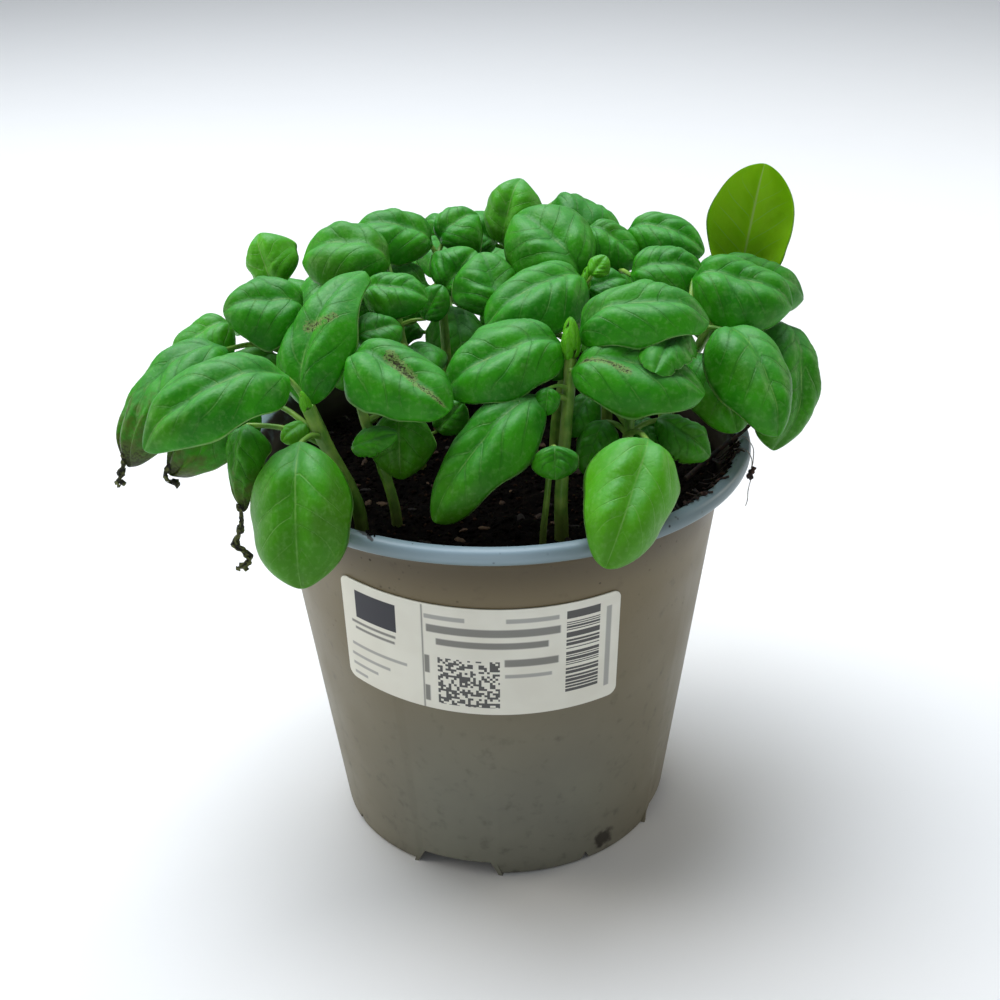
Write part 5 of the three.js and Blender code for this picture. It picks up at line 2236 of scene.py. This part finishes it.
@dataclass
class Label:
    """The paper label: a flat rounded rectangle wrapped on the cone of the wall."""

    angle: float = 263.3
    z: float = 78.2
    width: float = 77.0
    height: float = 35.2
    tilt: float = -1.6
    lift: float = 0.12
    thickness: float = 0.3
    corner: float = 2.5
    columns: int = 110
    rows: int = 24
    finish: LabelFinish = LabelFinish()

    def place(self, x: float, y: float, lift: float) -> Vector:
        """Wrap a place on the flat label round the wall.

        Args:
            x: Across from the label's middle, in millimetres.
            y: Up from it.
            lift: Away from the wall.

        Returns:
            The place in metres.
        """
        lean = math.atan(WALL_SLOPE)
        apex = wall_radius(self.z) / math.sin(lean)
        turn = math.radians(self.tilt)
        across = x * math.cos(turn) - y * math.sin(turn)
        up = x * math.sin(turn) + y * math.cos(turn)
        along = math.hypot(across, apex + up)
        angle = math.radians(self.angle) + math.atan2(across, apex + up) / math.sin(lean)
        radius = along * math.sin(lean) + lift * math.cos(lean)
        z = (along * math.sin(lean) - FOOT_RADIUS) / WALL_SLOPE - lift * math.sin(lean)
        return Vector((radius * math.cos(angle), radius * math.sin(angle), z)) * MM

    def build(self) -> Object:
        """Make the label with its print map in millimetres.

        Returns:
            The piece that stands for the label.
        """
        sheet = bmesh.new()
        chart = sheet.loops.layers.uv.new("print")
        flat = {}
        layers = []
        for lift in (self.lift, self.lift + self.thickness):
            grid = []
            for i in range(self.columns + 1):
                share = (1 - math.cos(math.pi * i / self.columns)) / 2 - 0.5
                x = share * self.width
                inset = max(0.0, self.corner - (self.width / 2 - abs(x)))
                round_off = math.sqrt(max(0.0, self.corner**2 - inset**2))
                half = self.height / 2 - self.corner + round_off
                line = []
                for j in range(self.rows + 1):
                    y = half * (2 * j / self.rows - 1)
                    vertex = sheet.verts.new(self.place(x, y, lift))
                    flat[vertex] = (x, y)
                    line.append(vertex)
                grid.append(line)
            layers.append(grid)
        low, high = layers
        m, n = self.columns, self.rows
        for i in range(m):
            for j in range(n):
                sheet.faces.new((high[i][j], high[i + 1][j], high[i + 1][j + 1], high[i][j + 1]))
                sheet.faces.new((low[i][j], low[i][j + 1], low[i + 1][j + 1], low[i + 1][j]))
        border = [(i, 0) for i in range(m)] + [(m, j) for j in range(n)]
        border += [(m - i, n) for i in range(m)] + [(0, n - j) for j in range(n)]
        for (i, j), (k, l) in zip(border, border[1:] + border[:1]):
            sheet.faces.new((low[i][j], low[k][l], high[k][l], high[i][j]))
        for face in sheet.faces:
            for loop in face.loops:
                loop[chart].uv = flat[loop.vert]
        mesh = settled("label_paper", sheet)
        mesh.shade_smooth()
        mesh.set_sharp_from_angle(angle=math.radians(40))
        mesh.materials.append(self.finish.material())
        piece = set_out("label_printed", mesh)
        seat(piece, Part.LABEL, "label")
        return piece


# The studio


@dataclass
class Studio:
    """A pale floor, soft light from above and the camera of the photograph."""

    eye: Triple = (0.0, -404.6, 303.4)
    pitch: float = 27.25
    yaw: float = 0.04
    roll: float = -1.15
    lens: float = 57.6
    # Each soft light: place in metres, size in metres, power in watts and colour.
    lamps: tuple[tuple[Triple, float, float, str], ...] = (
        ((-0.25, 0.35, 1.3), 1.3, 25.0, "#f0f6ff"),
        ((-0.1, -1.3, 0.2), 0.5, 1.6, "#fffaf2"),
        ((-1.1, 0.1, 0.45), 0.6, 3.5, "#fff6e8"),
        ((1.0, 0.35, 0.5), 0.6, 2.5, "#fff6e8"),
    )
    # What the soft lights point at, in metres.
    aim: Triple = (0, 0, 0.12)
    floor_reach: float = 4
    sky: str = "#eef4fc"
    sky_strength: float = 0.23

    def build_floor(self) -> Object:
        """Lay the floor.

        Returns:
            The floor, marked as stage.
        """
        mesh = bpy.data.meshes.new("studio_floor")
        far = self.floor_reach
        corners = [(-far, -far, 0), (far, -far, 0), (far, far, 0), (-far, far, 0)]
        mesh.from_pydata(corners, [], [(0, 1, 2, 3)])
        mesh.materials.append(FloorFinish().material())
        floor = set_out("studio_floor", mesh)
        floor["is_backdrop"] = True
        return floor

    def build_lights(self) -> None:
        """Hang the soft lights and light the surroundings."""
        for i, (place, size, power, colour) in enumerate(self.lamps):
            lamp = bpy.data.lights.new(f"soft_light_{i + 1}", "AREA")
            lamp.shape = "DISK"
            lamp.size = size
            lamp.energy = power
            lamp.color = linear(colour)[:3]
            holder = set_out(lamp.name, lamp)
            holder.location = place
            towards = Vector(self.aim) - Vector(place)
            holder.rotation_euler = towards.to_track_quat("-Z", "Y").to_euler()
        world = bpy.data.worlds.new("studio_surroundings")
        world.use_nodes = True
        background = world.node_tree.nodes["Background"]
        background.inputs["Color"].default_value = linear(self.sky)
        background.inputs["Strength"].default_value = self.sky_strength
        bpy.context.scene.world = world

    def build_camera(self) -> Object:
        """Set up the camera.

        Returns:
            The scene's camera.
        """
        data = bpy.data.cameras.new("viewer")
        data.sensor_width = 36.0
        data.sensor_fit = "HORIZONTAL"
        data.lens = self.lens
        data.clip_start = 0.01
        camera = set_out("viewer", data)
        pitch, yaw, roll = (math.radians(a) for a in (self.pitch, self.yaw, self.roll))
        flat = math.cos(pitch)
        ahead = Vector((math.sin(yaw) * flat, math.cos(yaw) * flat, -math.sin(pitch)))
        level = ahead.cross(Vector((0, 0, 1))).normalized()
        upright = level.cross(ahead)
        right = level * math.cos(roll) + upright * math.sin(roll)
        top = upright * math.cos(roll) - level * math.sin(roll)
        columns = Matrix((right, top, -ahead)).transposed()
        camera.matrix_world = Matrix.Translation(Vector(self.eye) * MM) @ columns.to_4x4()
        bpy.context.scene.camera = camera
        return camera


def main() -> None:
    """Build every piece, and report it."""
    logging.basicConfig(level=logging.INFO, format="%(name)s: %(message)s")
    studio = Studio()
    studio.build_camera()
    studio.build_floor()
    studio.build_lights()
    bpy.context.scene.view_settings.view_transform = "Standard"
    growth = Growth()
    pieces = [Pot().build(), SoilBed().build(), Label().build(), Litter().build(growth)]
    for stem in SEEN_STEMS + [rule.leafy_stem() for rule in RULED_STEMS]:
        pieces.append(stem.build(growth))
    total = 0
    for piece in pieces:
        triangles = sum(len(face.vertices) - 2 for face in piece.data.polygons)
        total += triangles
        LOG.info("%s: %d triangles", piece.name, triangles)
    LOG.info("all pieces: %d triangles", total)
    boxes = {"cad": cad_box, "visual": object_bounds()}
    plain = {name: [list(map(float, corner)) for corner in box] for name, box in boxes.items()}


if __name__ == "__main__":
    main()
